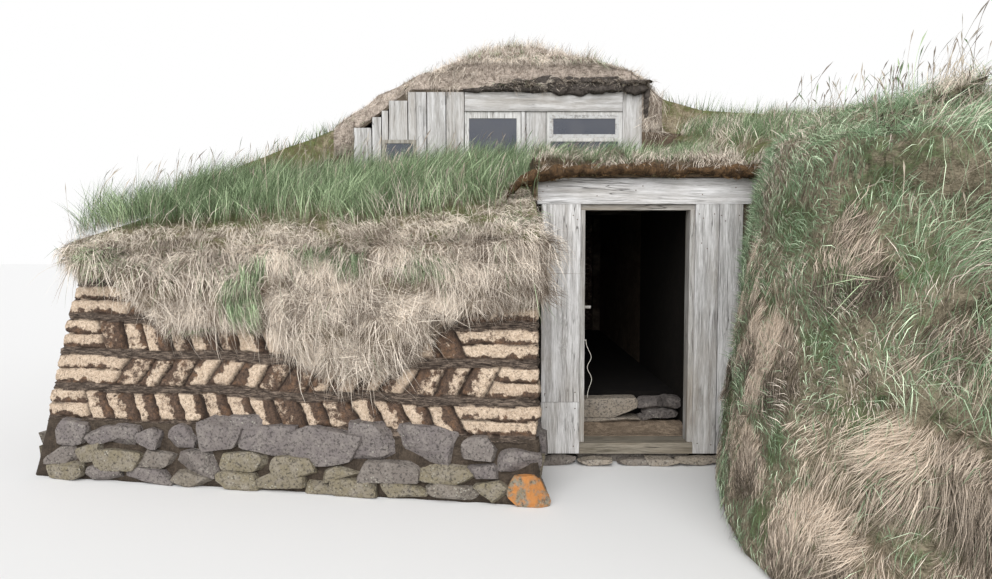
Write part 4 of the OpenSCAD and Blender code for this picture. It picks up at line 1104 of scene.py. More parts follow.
STEP_STONES = (
    ((-0.175, 0.510, 0.318), (0.55, 0.16, 0.155), 0.01, 0.6), ((-0.165, 0.515, 0.218), (0.58, 0.20, 0.045), -0.03, 0.6))
ROUGH_STONES = (
    ((0.20, 0.535, 0.350), (0.21, 0.18, 0.11), -0.1, 0.2), ((0.375, 0.545, 0.345), (0.17, 0.18, 0.10), 0.1, 0.3),
    ((0.29, 0.525, 0.268), (0.30, 0.18, 0.075), 0.08, 0.35), ((0.17, 0.505, 0.235), (0.14, 0.12, 0.05), 0.3, 0.4))
SILL_STONES = (
    ((-0.58, 0.0, 0.033), (0.26, 0.10, 0.065), 0.1, 0.3), ((-0.30, -0.02, 0.028), (0.27, 0.12, 0.055), -0.1, 0.7),
    ((-0.02, -0.01, 0.026), (0.22, 0.11, 0.05), 0.05, 0.45), ((0.19, -0.02, 0.030), (0.24, 0.12, 0.06), -0.05, 0.6),
    ((0.42, -0.02, 0.028), (0.26, 0.11, 0.055), 0.1, 0.65), ((0.62, -0.01, 0.03), (0.16, 0.10, 0.055), 0.0, 0.5),
    ((0.0, 0.12, 0.037), (0.86, 0.14, 0.074), 0.0, 0.4))


@dataclass
class Threshold:
    """Stones of the step behind the sill, and those under the sill; rows are middle, size, turn and tone."""

    def build(self) -> None:
        """Makes the step and the sill stones."""
        worn = FieldStone(grey=(0.17, 0.148, 0.13), tan=(0.35, 0.30, 0.24))
        dark = FieldStone(grey=(0.12, 0.105, 0.10), tan=(0.22, 0.19, 0.16))
        self.lay("step_stones", STEP_STONES, Stones(11, 7, 4, 0.06), 301, ("step_slab",), worn)
        self.lay("step_stone_rough", ROUGH_STONES, Stones(12, 9, 14, 0.2), 303, (), dark)
        self.earth()
        self.lay("sill_stones_rough", SILL_STONES, Stones(7, 6, 7, 0.2), 302, ("sill_stones",), worn)

    @staticmethod
    def earth() -> None:
        """Trodden earth between the sill and the step: a bank that rises to the back with an S-curve and noise.

        Its closed profile, the noisy top and a flat bottom, is carried along X, and the two ends are capped.
        """
        steps, foot = 64, 0.155
        x = np.linspace(-0.440, 0.440, steps)[:, None]
        y = np.linspace(0.20, 0.50, 24)[None, :]
        xx, yy = np.broadcast_arrays(x, y)
        at = np.stack([xx, yy, 0 * xx], axis=-1)
        rough = 0.010 * layered_noise(at * 14.0, 61) + 0.003 * layered_noise(at * 70.0, 62, 2)
        top = np.maximum(0.157 + 0.055 * smooth_step(0.24, 0.46, yy) + rough, foot + 0.0005)
        upper = np.stack([xx, yy, top], axis=-1)
        lower = np.stack([xx[:, ::-1], yy[:, ::-1], np.full_like(top, foot)], axis=-1)[:, [0, -1]]
        rows = np.concatenate([upper, lower], axis=1)
        sides, first, last = tube_faces(steps, rows.shape[1])
        make_piece("threshold_earth", Surface(rows.reshape(-1, 3), [sides, first[:, ::-1], last[:, ::-1]]),
                   Earth(slot="earth_floor", light=(0.40, 0.31, 0.225), dark=(0.12, 0.09, 0.065)))

    @staticmethod
    def lay(name: str, rows: Sequence[tuple[Point, Point, float, float]], shape: Stones, seed: int,
            nodes: tuple[str, ...], finish: Finish) -> None:
        """Makes one piece of slabs given as middle, size, turn and tone."""
        centres, sizes, turns, tones = (np.array(column) for column in zip(*rows))
        make_piece(name, shape.slabs(centres, sizes, turns, tones, seed), finish, nodes, smooth=False)


# Timber

@dataclass
class Plank:
    """One weathered board between two corners, with worn edges; its grain runs along X or Z."""

    low: Point
    high: Point
    along: Along = Along.Z
    wear: float = 0.0022
    seed: int = 1
    rings: int = 26
    across: int = 7

    def surface(self) -> Surface:
        """Rounded outline carried along the board.

        The outline is a rounded rectangle whose corners follow a quarter circle of the wear radius; its half
        width and half depth shrink a little with noise along the board, and the last rings close the ends.
        """
        low, high = np.array(self.low), np.array(self.high)
        axis = 2 if self.along is Along.Z else 0
        side = 0 if axis == 2 else 2
        size = high - low
        t = np.concatenate([[0.0, 0.0, 0.0015], np.linspace(0.004, 0.996, self.rings), [0.9985, 1.0, 1.0]])
        corner = np.linspace(0.0, math.pi / 2, 4)
        quarter = np.stack([np.cos(corner), np.sin(corner)], axis=-1)
        r = self.wear * 2.0
        hw, hd = size[side] / 2, size[1] / 2
        wide, flat = np.linspace(-1.0, 1.0, self.across + 2)[1:-1] * (hw - r), np.ones(self.across) * hd
        outline = np.concatenate([quarter * r + [hw - r, hd - r], np.column_stack([-wide, flat]),
                                  quarter[::-1] * [-r, r] + [-(hw - r), hd - r],
                                  quarter * [-r, -r] + [-(hw - r), -(hd - r)],
                                  np.column_stack([wide, -flat]),
                                  quarter[::-1] * [r, -r] + [hw - r, -(hd - r)]])
        n = len(outline)
        shrink = np.array([0.0, 0.93, 0.985] + [1.0] * self.rings + [0.985, 0.93, 0.0]) ** 0.15
        p = outline[None, :, :] * np.ones((len(t), 1, 1))
        along = np.broadcast_to(t[:, None, None] * size[axis] * 5.0, (len(t), n, 1))
        probe = np.concatenate([outline[None] * 8.0 + 0 * p, along], axis=-1)
        rough = lattice_noise(probe + self.seed * 7.3, self.seed)
        trim = np.stack([np.sign(p[..., 0]) * (np.abs(p[..., 0]) > hw - 2 * r), np.sign(p[..., 1])], axis=-1)
        p = p - trim * (np.abs(rough)[..., None] * np.array([0.0035, 0.0014]))
        p = p * shrink[:, None, None]
        middle = (low + high) / 2
        points = np.zeros((len(t), n, 3))
        points[..., side] = middle[side] + p[..., 0]
        points[..., 1] = middle[1] + p[..., 1]
        points[..., axis] = low[axis] + t[:, None] * size[axis]
        grain = np.concatenate([p, np.broadcast_to(t[:, None, None] * size[axis], (len(t), n, 1))], axis=-1)
        grain += np.random.default_rng(self.seed).uniform(-9, 9, 3)
        faces = grid_faces(len(t), n, wrap=True)
        if axis == 0:
            faces = faces[:, ::-1]
        return Surface(points.reshape(-1, 3), [faces[:, ::-1]], None, {"grain": grain.reshape(-1, 3)})

    @staticmethod
    def piece(name: str, planks: Sequence["Plank"], finish: Finish, node: str) -> None:
        """Makes one piece of several boards, which stands for a CAD node."""
        make_piece(name, joined([p.surface() for p in planks]), finish, (node,))


@dataclass
class Doorway:
    """Boards round the door, nail heads, jambs, head and sill."""

    plank_t: float = 0.028
    z_low: float = 0.075
    z_lintel: float = 1.90

    def build(self) -> None:
        """Makes the boards and dresses the timbers behind them."""
        t = self.plank_t
        board = Timber(along=Along.STORED, light=(0.80, 0.79, 0.785), dark=(0.30, 0.285, 0.27))
        worn = Timber(along=Along.STORED, stain=0.5, light=(0.76, 0.755, 0.75), dark=(0.30, 0.29, 0.28))
        pale = Timber(along=Along.STORED, light=(0.84, 0.835, 0.84), dark=(0.36, 0.35, 0.34), stain=0.3)
        left = [Plank((-0.70, 0.0, 0.458), (-0.415, t, self.z_lintel), seed=3),
                Plank((-0.70, 0.003, self.z_low), (-0.415, t, 0.455), seed=4)]
        Plank.piece("door_boards_left_worn", left, board, "door_boards_left")
        right = [Plank((0.415, 0.0, self.z_low), (0.5855, t, self.z_lintel), seed=5),
                 Plank((0.5875, 0.0, self.z_low), (0.758, t, self.z_lintel), seed=6)]
        Plank.piece("door_boards_right_worn", right, worn, "door_boards_right")
        lintel = Plank((-0.73, 0.0, self.z_lintel), (0.923, t, 2.09), Along.X, seed=8)
        Plank.piece("door_lintel_worn", [lintel], pale, "door_lintel")
        inner = Timber(slot="door_timber", light=(0.60, 0.59, 0.57), dark=(0.26, 0.245, 0.225), stain=0.6)
        inner.dress("door_jamb_left", "door_jamb_right")
        Timber(slot="door_timber", along=Along.X, light=(0.50, 0.48, 0.45), dark=(0.17, 0.15, 0.13),
               stain=0.8).dress("door_head")
        Timber(slot="door_timber", along=Along.X, light=(0.33, 0.295, 0.24), dark=(0.11, 0.095, 0.07),
               stain=0.9).dress("door_sill")
        self.nails()

    def nails(self) -> None:
        """Small round nail heads in pairs: a flat dome, a ring of eight points round a raised middle."""
        pairs = [(-0.68, 1.80), (-0.64, 1.83), (-0.47, 1.82), (-0.44, 1.79), (-0.67, 0.52), (-0.45, 0.53),
                 (-0.66, 0.42), (-0.45, 0.41), (-0.67, 0.12), (-0.46, 0.13), (0.44, 1.83), (0.47, 1.80), (0.55, 1.83),
                 (0.60, 1.82), (0.63, 1.78), (0.73, 1.82), (0.45, 0.15), (0.55, 0.14), (0.61, 0.15), (0.73, 0.16),
                 (0.46, 1.62), (0.50, 1.58), (-0.69, 1.99), (-0.66, 2.03), (-0.02, 2.0), (0.03, 2.03), (0.86, 1.98),
                 (0.89, 2.03), (-0.30, 1.96), (0.46, 1.97), (0.70, 2.02)]
        around = 8
        centre = np.array([(x, 0.0003, z) for x, z in pairs])
        angle = np.linspace(0, 2 * math.pi, around, endpoint=False)
        ring = np.stack([np.cos(angle), np.zeros(around), np.sin(angle)], axis=-1)
        profile = ((0.0046, 0.0004), (0.0040, -0.0012), (0.0, -0.0018))
        rings = np.stack([ring * radius + [0, out, 0] for radius, out in profile])
        points = (centre[:, None, None, :] + rings[None]).reshape(-1, 3)
        one = grid_faces(len(profile), around, wrap=True)
        faces = (one[None] + (np.arange(len(centre)) * len(profile) * around)[:, None, None]).reshape(-1, 4)
        make_piece("door_nails", Surface(points, [faces]), Iron())


@dataclass
class HouseFront:
    """Boarded front with its beam, post and windows."""

    left: float = ROOM_X
    widths: tuple[float, ...] = (0.184, 0.095, 0.069, 0.191, 0.189, 0.190, 0.186)
    groove: float = 0.003
    foot: float = 2.0
    beam: float = 3.145
    eave: float = 2.72
    fall: float = 0.75
    y: tuple[float, float] = (2.2, 2.228)
    small: tuple[float, float, float, float] = (-2.182, -1.832, 2.25, 2.67)
    gap: float = 0.0022

    def planks(self) -> list[Plank]:
        """Boards with their stepped tops, cut round the small window."""
        x = self.left
        made = []
        x0, x1, z0, z1 = self.small
        for i, width in enumerate(self.widths):
            top = min(self.beam, self.eave + self.fall * (x + width / 2 - self.left))
            a, b = x + self.gap, x + width - self.gap
            if b <= x0 or a >= x1:
                spans = [(a, b, self.foot, top)]
            else:
                spans = [(max(a, x0 - 0.001), min(b, x1), z1, top)] + ([(x1, b, self.foot, top)] if b > x1 else [])
            made += [Plank((p, self.y[0], q), (r, self.y[1], t), seed=30 + 3 * i + k)
                     for k, (p, r, q, t) in enumerate(spans)]
            x += width + self.groove
        y0, y1 = self.y
        head, ledge = 2.95, 2.25
        made += [Plank((-0.722, y0, self.foot), (-0.524, y1, head), seed=60),
                 Plank((-0.774, 2.194, self.foot), (-0.728, 2.226, head), seed=61),
                 Plank((-1.342, y0, self.foot), (-0.778, y1, ledge), Along.X, seed=62),
                 Plank((-0.519, y0, self.foot), (0.244, y1, ledge), Along.X, seed=63)]
        return made

    def build(self) -> None:
        """Makes the boards, and dresses the window timbers and the glass."""
        board = Timber(along=Along.STORED)
        Plank.piece("front_boards_worn", self.planks(), board, "front_boards")
        for name, along, seed in (("front_beam", Along.X, 71), ("front_post_right", Along.Z, 72)):
            low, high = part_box(name)
            Plank.piece(name + "_worn", [Plank(tuple(low), tuple(high), along, 0.003, seed)], board, name)
        pale = Timber(slot="window_timber", dark=(0.42, 0.41, 0.39), light=(0.74, 0.735, 0.72), stain=0.2)
        pale.dress("window_left_frame", "window_right_frame")
        brown = Timber(slot="window_timber", dark=(0.20, 0.18, 0.15), light=(0.44, 0.42, 0.38), stain=0.6)
        brown.dress("window_small_frame")
        WornPaint().dress("window_right_casement")
        WindowGlass().dress("window_left_glass", "window_right_glass", "casement_glass", "window_small_glass")
        # Painted shade: these timbers get near-black colour for the dark they lie in.
        dark = Timber(slot="inner_timber", along=Along.Y, light=(0.07, 0.05, 0.035), dark=(0.02, 0.015, 0.01))
        dark.dress("passage_ceiling", "roof_boards", "roof_frame", "room_frame", "front_sill_beam")


@dataclass
class EdgeTurves:
    """Wavy strips of dark turf laid on the beam, and a flat slab over the post."""

    strips: tuple[tuple[float, float, float, float, float], ...] = (
        (-1.36, -0.40, 3.160, 0.045, 0.00), (-1.10, -0.55, 3.190, 0.040, -0.004), (-0.88, -0.28, 3.205, 0.105, -0.010),
        (-0.50, 0.24, 3.190, 0.130, -0.006), (-0.38, 0.26, 3.245, 0.060, -0.022), (-0.10, 0.28, 3.165, 0.060, -0.016),
        (0.17, 0.53, 3.232, 0.036, -0.040), (0.24, 0.50, 3.185, 0.085, -0.012), (0.455, 0.515, 3.120, 0.110, 0.015),
        (0.455, 0.510, 3.030, 0.120, 0.03), (0.455, 0.505, 2.945, 0.110, 0.04))
    front: float = 2.135
    depth: float = 0.11
    columns: int = 90
    around: int = 18

    def strip(self, x0: float, x1: float, z: float, thick: float, out: float, seed: int) -> Surface:
        """One strip: a rounded outline carried along X, with its height, thickness and reach moved by noise.

        Thin layers come from a noise that is stretched along X, and the front edge is broken by a coarser one.
        """
        t = np.linspace(0.0, 1.0, self.columns)[:, None]
        a = np.linspace(0.0, 2 * math.pi, self.around, endpoint=False)[None, :]
        x = x0 + (x1 - x0) * t + 0 * a
        c, d = np.cos(a), np.sin(a)
        square = 1.0 / np.maximum((np.abs(c) ** 4 + np.abs(d) ** 4) ** 0.25, 1e-6)
        at = np.stack([x * 2.6, np.full_like(x, seed * 3.7), 0 * x], axis=-1)
        ends = np.minimum(1.0, 7.0 * np.minimum(t, 1.0 - t) + 0.02) ** 0.5
        wave = 0.024 * lattice_noise(at, seed) + 0.010 * lattice_noise(at * 4.1, seed + 1)
        half = thick / 2 * (1.0 + 0.5 * lattice_noise(at * 2.2, seed + 2)) * ends
        reach = self.depth / 2 * (1.0 + 0.2 * lattice_noise(at * 5.9, seed + 3)) * (0.5 + 0.5 * ends)
        y = self.front + self.depth / 2 + out + reach * c * square
        zz = z + wave + half * d * square
        thin = layered_noise(np.stack([x * 7.0, y * 7.0, zz * 75.0], axis=-1), seed + 4, 3)
        rough = layered_noise(np.stack([x * 30.0, y * 30.0, zz * 30.0], axis=-1), seed + 5, 3)
        points = np.stack([x, y - 0.030 * thin * -np.minimum(c, 0.0) - 0.012 * rough, zz + 0.012 * rough], axis=-1)
        return Surface(points.reshape(-1, 3), tube_faces(self.columns, self.around))

    def build(self) -> None:
        """Makes the strips."""
        surface = self.laid(80)
        finish = Earth(slot="moss_sod", light=(0.15, 0.13, 0.115), dark=(0.018, 0.014, 0.012))
        make_piece("roof_edge_turves", surface, finish, ("edge_turves",))
        GROUNDS["roof_edge_turves"] = Ground.on_quads(surface)
        beside = ((0.765, 0.90, 1.865, 0.050, 0.0), (0.770, 0.92, 1.805, 0.045, 0.01), (0.765, 0.90, 1.745, 0.050, 0.0),
                  (0.770, 0.90, 1.680, 0.045, 0.02))
        small = replace(self, strips=beside, front=0.03, depth=0.10, columns=24)
        finish = Earth(slot="moss_sod", light=(0.21, 0.175, 0.15), dark=(0.028, 0.022, 0.018))
        make_piece("door_edge_turves", small.laid(180), finish)

    def laid(self, seed: int) -> Surface:
        """All the strips as one surface."""
        return joined([self.strip(*row, seed=seed + 7 * i) for i, row in enumerate(self.strips)])


# Sods

LEAST_X, LEAST_Y = -4.48, -2.54


@dataclass(frozen=True)
class Locks:
    """Field of overlapping lumps that hang down a flow, shared by a sod and the grass on it."""

    size: float
    seed: int
    flow: Point

    def below(self, p: Array) -> tuple[Array, Array, Array, Array]:
        """Place, values and distance of the nearest lump, and how far down the flow from it in sizes."""
        place, values, far = nearest_seed(p, self.size, self.seed)
        return place, values, far, (p - place) @ unit(np.array(self.flow)) / self.size

    def tone(self, p: Array) -> Array:
        """Tone that falls towards the lower end of each lock, where the next one shades it."""
        return 0.10 - 0.30 * smooth_step(-0.35, 0.45, self.below(p)[3])

    def share(self, p: Array) -> Array:
        """Share of roots that keeps to the upper part of each lock, so that the locks overlap like scales."""
        return np.clip(0.75 - 1.6 * self.below(p)[3], 0.06, 1.0)


MAT_LOCKS = Locks(0.26, 11, (0.05, -0.1, -1.0))
ROOF_LOCKS = Locks(0.45, 15, (0.0, -0.6, -0.8))
BANK_LOCKS = Locks(0.62, 19, (-0.45, -0.35, -1.0))


@dataclass
class Sod:
    """Sod of a CAD node, split into short triangles and pushed out in overlapping lumps."""

    node: str
    edge: float
    height: float
    locks: Locks
    hold: Callable[[Array, Array], Array]

    @staticmethod
    def split(t: Array, longest: float) -> Array:
        """Triangles with every edge over a length halved, again and again.

        Which edges are halved depends on the edge alone, so neighbours always agree: triangles with one, two and
        three long edges become two, three and four.
        """
        while True:
            sides = np.linalg.norm(np.roll(t, -1, axis=1) - t, axis=2)
            over = sides > longest
            if not over.any():
                return t
            count = over.sum(axis=1)
            turn = np.where(count == 1, np.argmax(over, axis=1), np.where(count == 2, np.argmin(over, axis=1), 0))
            order = (np.arange(3)[None, :] + turn[:, None]) % 3
            t = np.take_along_axis(t, order[:, :, None], axis=1)
            a, b, c = t[:, 0], t[:, 1], t[:, 2]
            ab, bc, ca = (a + b) / 2, (b + c) / 2, (c + a) / 2
            one, two, three, none = count == 1, count == 2, count == 3, count == 0
            parts = [t[none]]
            for rows, trios in ((one, ((a, ab, c), (ab, b, c))), (two, ((a, b, bc), (a, bc, ca), (ca, bc, c))),
                                (three, ((a, ab, ca), (ab, b, bc), (ca, bc, c), (ab, bc, ca)))):
                parts += [np.stack([p[rows] for p in trio], axis=1) for trio in trios]
            t = np.concatenate(parts)

    def surface(self) -> Surface:
        """The lumpy sod.

        Every point moves along its blended normal by the height times a share: within the cell of the nearest
        lump seed the share grows down the flow, and starts again at the next cell, like overlapping scales.
        """
        t = self.split(Ground.of(self.node).corners, self.edge)
        keys, index = np.unique(np.round(t.reshape(-1, 3), 4), axis=0, return_inverse=True)
        faces = index.reshape(-1, 3)
        faces = faces[(faces[:, 0] != faces[:, 1]) & (faces[:, 1] != faces[:, 2]) & (faces[:, 2] != faces[:, 0])]
        a, b, c = (keys[faces[:, i]] for i in range(3))
        cross = np.cross(b - a, c - a)
        normal = np.zeros_like(keys)
        for i in range(3):
            np.add.at(normal, faces[:, i], cross)
        for _ in range(3):
            spread = normal.copy()
            for i in range(3):
                np.add.at(spread, faces[:, i], unit(normal)[faces[:, (i + 1) % 3]] * 0.5)
            normal = unit(spread)
        _, values, _, below = self.locks.below(keys)
        share = smooth_step(-0.65, 0.25, below) * (0.75 + 0.25 * values[:, 0])
        rough = layered_noise(keys * 6.0, self.locks.seed + 3, 3)
        push = self.height * (share + 0.25 * rough) * self.hold(keys, normal)
        points = np.maximum(keys + normal * push[:, None], np.array([LEAST_X, LEAST_Y, 0.0]))
        return Surface(points, [faces])

    def build(self, name: str, finish: Finish) -> None:
        """Makes the piece and keeps its triangles as ground for the grass."""
        surface = self.surface()
        make_piece(name, surface, finish, (self.node,))
        GROUNDS[self.node] = Ground(surface.points[surface.faces[0]])


# Grass

class Habit(Enum):
    """How the blades of a kind of grass stand."""

    UPRIGHT = 1
    HANGING = 2
    DROOPING = 3
    ARCHING = 4


@dataclass
class Ground:
    """Triangles that grass grows on; kept by node in GROUNDS where a lumpy sod has taken a node's place."""

    corners: Array

    @staticmethod
    def on_quads(surface: Surface) -> "Ground":
        """Triangles of a surface's quads, each cut in two."""
        quads = np.concatenate([f for f in surface.faces if f.shape[1] == 4])
        return Ground(surface.points[np.concatenate([quads[:, [0, 1, 2]], quads[:, [0, 2, 3]]])])

    @staticmethod
    def of(*nodes: str) -> "Ground":
        """Triangles of CAD nodes, in space."""
        parts = []
        for name in nodes:
            if name in GROUNDS:
                parts.append(GROUNDS[name].corners)
                continue
            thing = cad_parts[name]
            mesh = thing.data
            mesh.calc_loop_triangles()
            points = np.empty(len(mesh.vertices) * 3, np.float32)
            mesh.vertices.foreach_get("co", points)
            index = np.empty(len(mesh.loop_triangles) * 3, np.int32)
            mesh.loop_triangles.foreach_get("vertices", index)
            world = np.array(thing.matrix_world)
            placed = points.reshape(-1, 3) @ world[:3, :3].T + world[:3, 3]
            parts.append(placed[index].reshape(-1, 3, 3))
        return Ground(np.concatenate(parts).astype(float))

    def sow(self, count: int, weight: Callable[[Array, Array], Array], rng: np.random.Generator) -> tuple[Array, Array]:
        """Scatters roots: a triangle by its area, an even place in it, kept by the weight there.

        Args:
            count: Number of roots.
            weight: Share from 0 to 1 that is kept, from places and normals.
            rng: Random source.
        Returns:
            Places and normals.
        """
        a, b, c = self.corners[:, 0], self.corners[:, 1], self.corners[:, 2]
        cross = np.cross(b - a, c - a)
        area = np.linalg.norm(cross, axis=1) / 2
        normal = unit(cross)
        middle = np.maximum(weight((a + b + c) / 3, normal), 0.05)
        chance = area * middle
        tries = rng.choice(len(area), count * 4, p=chance / chance.sum())
        u, v = rng.random((2, len(tries), 1))
        over = u + v > 1
        u, v = np.where(over, 1 - u, u), np.where(over, 1 - v, v)
        place = a[tries] + u * (b[tries] - a[tries]) + v * (c[tries] - a[tries])
        keep = rng.random(len(tries)) * middle[tries] < weight(place, normal[tries])
        return place[keep][:count], normal[tries][keep][:count]


GROUNDS: dict[str, Ground] = {}


@dataclass
class Grass:
    """One kind of grass on some CAD nodes, made as one mesh of narrow ribbons."""

    name: str
    nodes: tuple[str, ...]
    count: int
    length: tuple[float, float]
    width: float
    habit: Habit
    clump: float = 0.12
    pull: float = 0.45
    green: float = 0.3
    patch: float = 0.4
    segments: int = 2
    flow: Point | Callable[[Array], Array] = (0.0, 0.0, -1.0)
    spread: float = 0.4
    seed: int = 1
    weight: Callable[[Array, Array], Array] = lambda p, n: np.clip(n[:, 2] + 0.3, 0.0, 1.0)
    scale: Callable[[Array, Array], Array] = lambda p, n: np.ones(len(p))
    tone: Callable[[Array], Array] = lambda p: np.zeros(len(p))
    head: float = 0.0
    held: tuple[Point, Point] = ((-4.49, LEAST_Y, 0.0), (3.19, 6.66, 3.955))
    finish: Blades = field(default_factory=Blades)

    def guides(self, rng: np.random.Generator) -> tuple[Array, Array, Array, Array, Array]:
        """Roots and the two guide points of each blade's curve.

        The tip is drawn towards the tip of the nearest clump seed, and blades that would leave the box they are
        held in get shorter.

        Args:
            rng: Random source.
        Returns:
            Root, middle and tip of each blade, the ground's normal and the clump's random values.
        """
        root, normal = Ground.of(*self.nodes).sow(self.count, self.weight, rng)
        n = len(root)
        length = rng.uniform(*self.length, (n, 1))
        own = unit(rng.normal(size=(n, 3)))
        near, values, far = nearest_seed(root, self.clump, self.seed)
        length = length * (1 + 0.35 * values[:, :1]) * self.scale(root, normal)[:, None]
        heading = self.flow(root) if callable(self.flow) else np.array(self.flow)
        flow = heading + self.spread * (0.75 * values + 0.6 * own)
        flow = unit(flow - normal * np.sum(flow * normal, axis=1, keepdims=True))
        stands = self.habit in (Habit.UPRIGHT, Habit.ARCHING)
        middle, tip, target = (self.standing(rng, normal, values, own) if stands else self.falling(rng, normal, flow))
        middle, tip, target = root + length * middle, root + length * tip, near + length * target
        tip = tip + self.pull * (target - tip) * np.exp(-far / self.clump)[:, None]
        low, high = np.array(self.held)
        room = np.where(tip > root, high - root, root - low) / np.maximum(np.abs(tip - root), 1e-6)
        share = np.clip(room.min(axis=1, keepdims=True), 0.05, 1.0)
        return root, root + share * (middle - root), root + share * (tip - root), normal, values

    def standing(self, rng: np.random.Generator, normal: Array, values: Array, own: Array) -> tuple[Array, ...]:
        """Middle, tip and clump tip of a standing blade of length 1.

        Upright blades rise from the root and bend over by a random lean. Arching blades rise and bend outwards.
        """
        if self.habit is Habit.UPRIGHT:
            level = np.array([1.0, 1.0, 0.2])
            lean = self.spread * (0.7 * values + 0.6 * own) * level
            return (0.55 * UP + 0.12 * normal + 0.25 * lean, 0.86 * UP + 0.75 * lean,
                    0.95 * UP + 0.6 * self.spread * values * level)
        out = unit(normal * np.array([1.0, 1.0, 0.0]) + 0.001)
        lean = self.spread * (0.6 * values + 0.6 * own) * np.array([1.0, 1.0, 0.3])
        rise = rng.uniform(0.15, 0.85, (len(normal), 1))
        return (0.50 * UP + 0.15 * out + 0.25 * lean, rise * UP + 0.40 * out + 0.70 * lean,
                0.60 * UP + 0.40 * out + 0.6 * self.spread * values * np.array([1.0, 1.0, 0.2]))

    def falling(self, rng: np.random.Generator, normal: Array, flow: Array) -> tuple[Array, ...]:
        """Middle, tip and clump tip of a falling blade of length 1.

        Hanging blades lift off along the normal and then follow the flow. Drooping blades arch out and fall.
        """
        n = len(normal)
        if self.habit is Habit.HANGING:
            lift = rng.uniform(0.05, 0.30, (n, 1))
            return (0.42 * flow + lift * normal, 0.92 * flow + 0.55 * lift * normal, 1.05 * flow + 0.22 * normal)
        lift = rng.uniform(0.25, 0.6, (n, 1))
        return (0.35 * flow + lift * unit(normal + 0.9 * UP), 0.9 * flow + 0.35 * lift * normal - 0.25 * UP,
                1.0 * flow + 0.25 * normal - 0.25 * UP)

    def build(self) -> None:
        """Makes the ribbons: a quadratic curve through the guides, widened to both sides and closed at its ends.

        A seed head adds a bell curve to the width near the tip.
        """
        rng = np.random.default_rng(self.seed)
        root, middle, tip, normal, values = self.guides(rng)
        n = len(root)
        t = np.linspace(0.0, 1.0, self.segments + 1)[None, :, None]
        curve = (1 - t) ** 2 * root[:, None] + 2 * t * (1 - t) * middle[:, None] + t**2 * tip[:, None]
        tangent = unit(2 * (1 - t) * (middle - root)[:, None] + 2 * t * (tip - middle)[:, None])
        facing = unit(normal + 0.8 * rng.normal(size=(n, 3)))
        side = unit(np.cross(tangent, facing[:, None]))
        half = self.width / 2 * rng.uniform(0.6, 1.4, (n, 1, 1)) * (1.0 - 0.55 * t**2)
        half = half + self.head * np.exp(-(((t - 0.84) / 0.08) ** 2))
        left, right = curve - side * half, curve + side * half
        first = 0 if self.segments == 1 else 1
        body = np.stack([left[:, first:-1], right[:, first:-1]], axis=2).reshape(n, -1, 3)
        points = np.concatenate([curve[:, :first], body, curve[:, -1:]], axis=1)
        points[..., 2] = np.maximum(points[..., 2], 0.004)
        per = points.shape[1]
        k = first + 2 * np.arange(self.segments - 1 - first)
        quads = np.stack([k, k + 1, k + 3, k + 2], axis=-1).reshape(-1, 4)
        ends = np.array([[0, 2, 1], [per - 3, per - 2, per - 1]][1 - first:])
        start = (np.arange(n) * per)[:, None, None]
        faces = [(quads[None] + start).reshape(-1, 4), (ends[None] + start).reshape(-1, 3)]
        at = root / self.patch
        broad = lattice_noise(at, self.seed + 50) + 0.35 * lattice_noise(at * 3.1, self.seed + 51)
        is_green = (broad * 0.5 + 0.5 + 0.12 * rng.normal(size=n)) > 1.0 - self.green
        # Each kind's tone moves its blades' pick towards dark or light straw; the mat and the bank use it for painted
        # shade and painted light.
        shade = np.clip(0.27 + 0.12 * rng.normal(size=n) + 0.15 * values[:, 1] + self.tone(root), 0.01, 0.49)
        pick = np.where(is_green, 0.5 + np.clip(2 * shade, 0.01, 0.49), shade)
        along = np.concatenate([t[0, :first, 0], np.repeat(t[0, first:-1, 0], 2), [1.0]])
        uv = np.stack([np.repeat(pick, per), np.tile(along, n)], axis=-1)
        make_piece(self.name, Surface(points.reshape(-1, 3), faces, uv), self.finish)


DRY = Blades(slot="dry_grass")
MOSS = Blades(slot="moss_sod", straw_dark=(0.03, 0.02, 0.012), straw_light=(0.66, 0.42, 0.21),
              green_dark=(0.03, 0.024, 0.015), green_light=(0.40, 0.33, 0.17))
SEEDS = Blades(slot="dry_grass", straw_dark=(0.16, 0.13, 0.11), straw_light=(0.45, 0.39, 0.31))
FRESH = Blades(green_dark=(0.19, 0.28, 0.16), green_light=(0.85, 1.0, 0.72))


# Where it grows: shares and lengths from places p and normals n

def on_top(p: Array, n: Array) -> Array:
    """All that faces up."""
    return np.clip(n[:, 2] * 2.0 - 0.2, 0.0, 1.0)


def on_front(p: Array, n: Array) -> Array:
    """What faces the front or up."""
    return np.clip(-n[:, 1] * 1.5 + n[:, 2], 0.0, 1.0)


def mat_hold(p: Array, n: Array) -> Array:
    """Lumps of the mat on its front face, but not underneath."""
    return np.clip(-n[:, 1] * 1.2, 0.0, 1.0) * np.clip(n[:, 2] * 2 + 1.6, 0.0, 1.0)


def bank_hold(p: Array, n: Array) -> Array:
    """Lumps of the bank: small by the door, none at its right and lower edges; its crown sinks."""
    return (np.clip(1.6 + 2 * n[:, 2], 0.0, 1.0) * smooth_step(0.0, 0.7, -p[:, 1])
            * (1.0 - 0.85 * smooth_step(0.25, 0.7, -n[:, 0]) * smooth_step(1.5, 0.9, p[:, 0]))
            * smooth_step(0.0, 0.35, 3.0 - p[:, 0]) * smooth_step(0.0, 0.2, p[:, 2] + 0.12)
            * (1.0 - 2.2 * smooth_step(0.35, 0.8, n[:, 2]) * smooth_step(2.8, 1.9, p[:, 0])))


def roof_hold(p: Array, n: Array) -> Array:
    """Lumps of the roof behind its front edge; its left shoulder sinks."""
    return smooth_step(-0.2, 0.4, n[:, 2]) * smooth_step(0.0, 0.2, p[:, 1] - 2.24) - 2.6 * (
        smooth_step(0.6, 0.2, np.abs(p[:, 0] + 1.75)) * smooth_step(-0.1, 0.3, n[:, 2]))


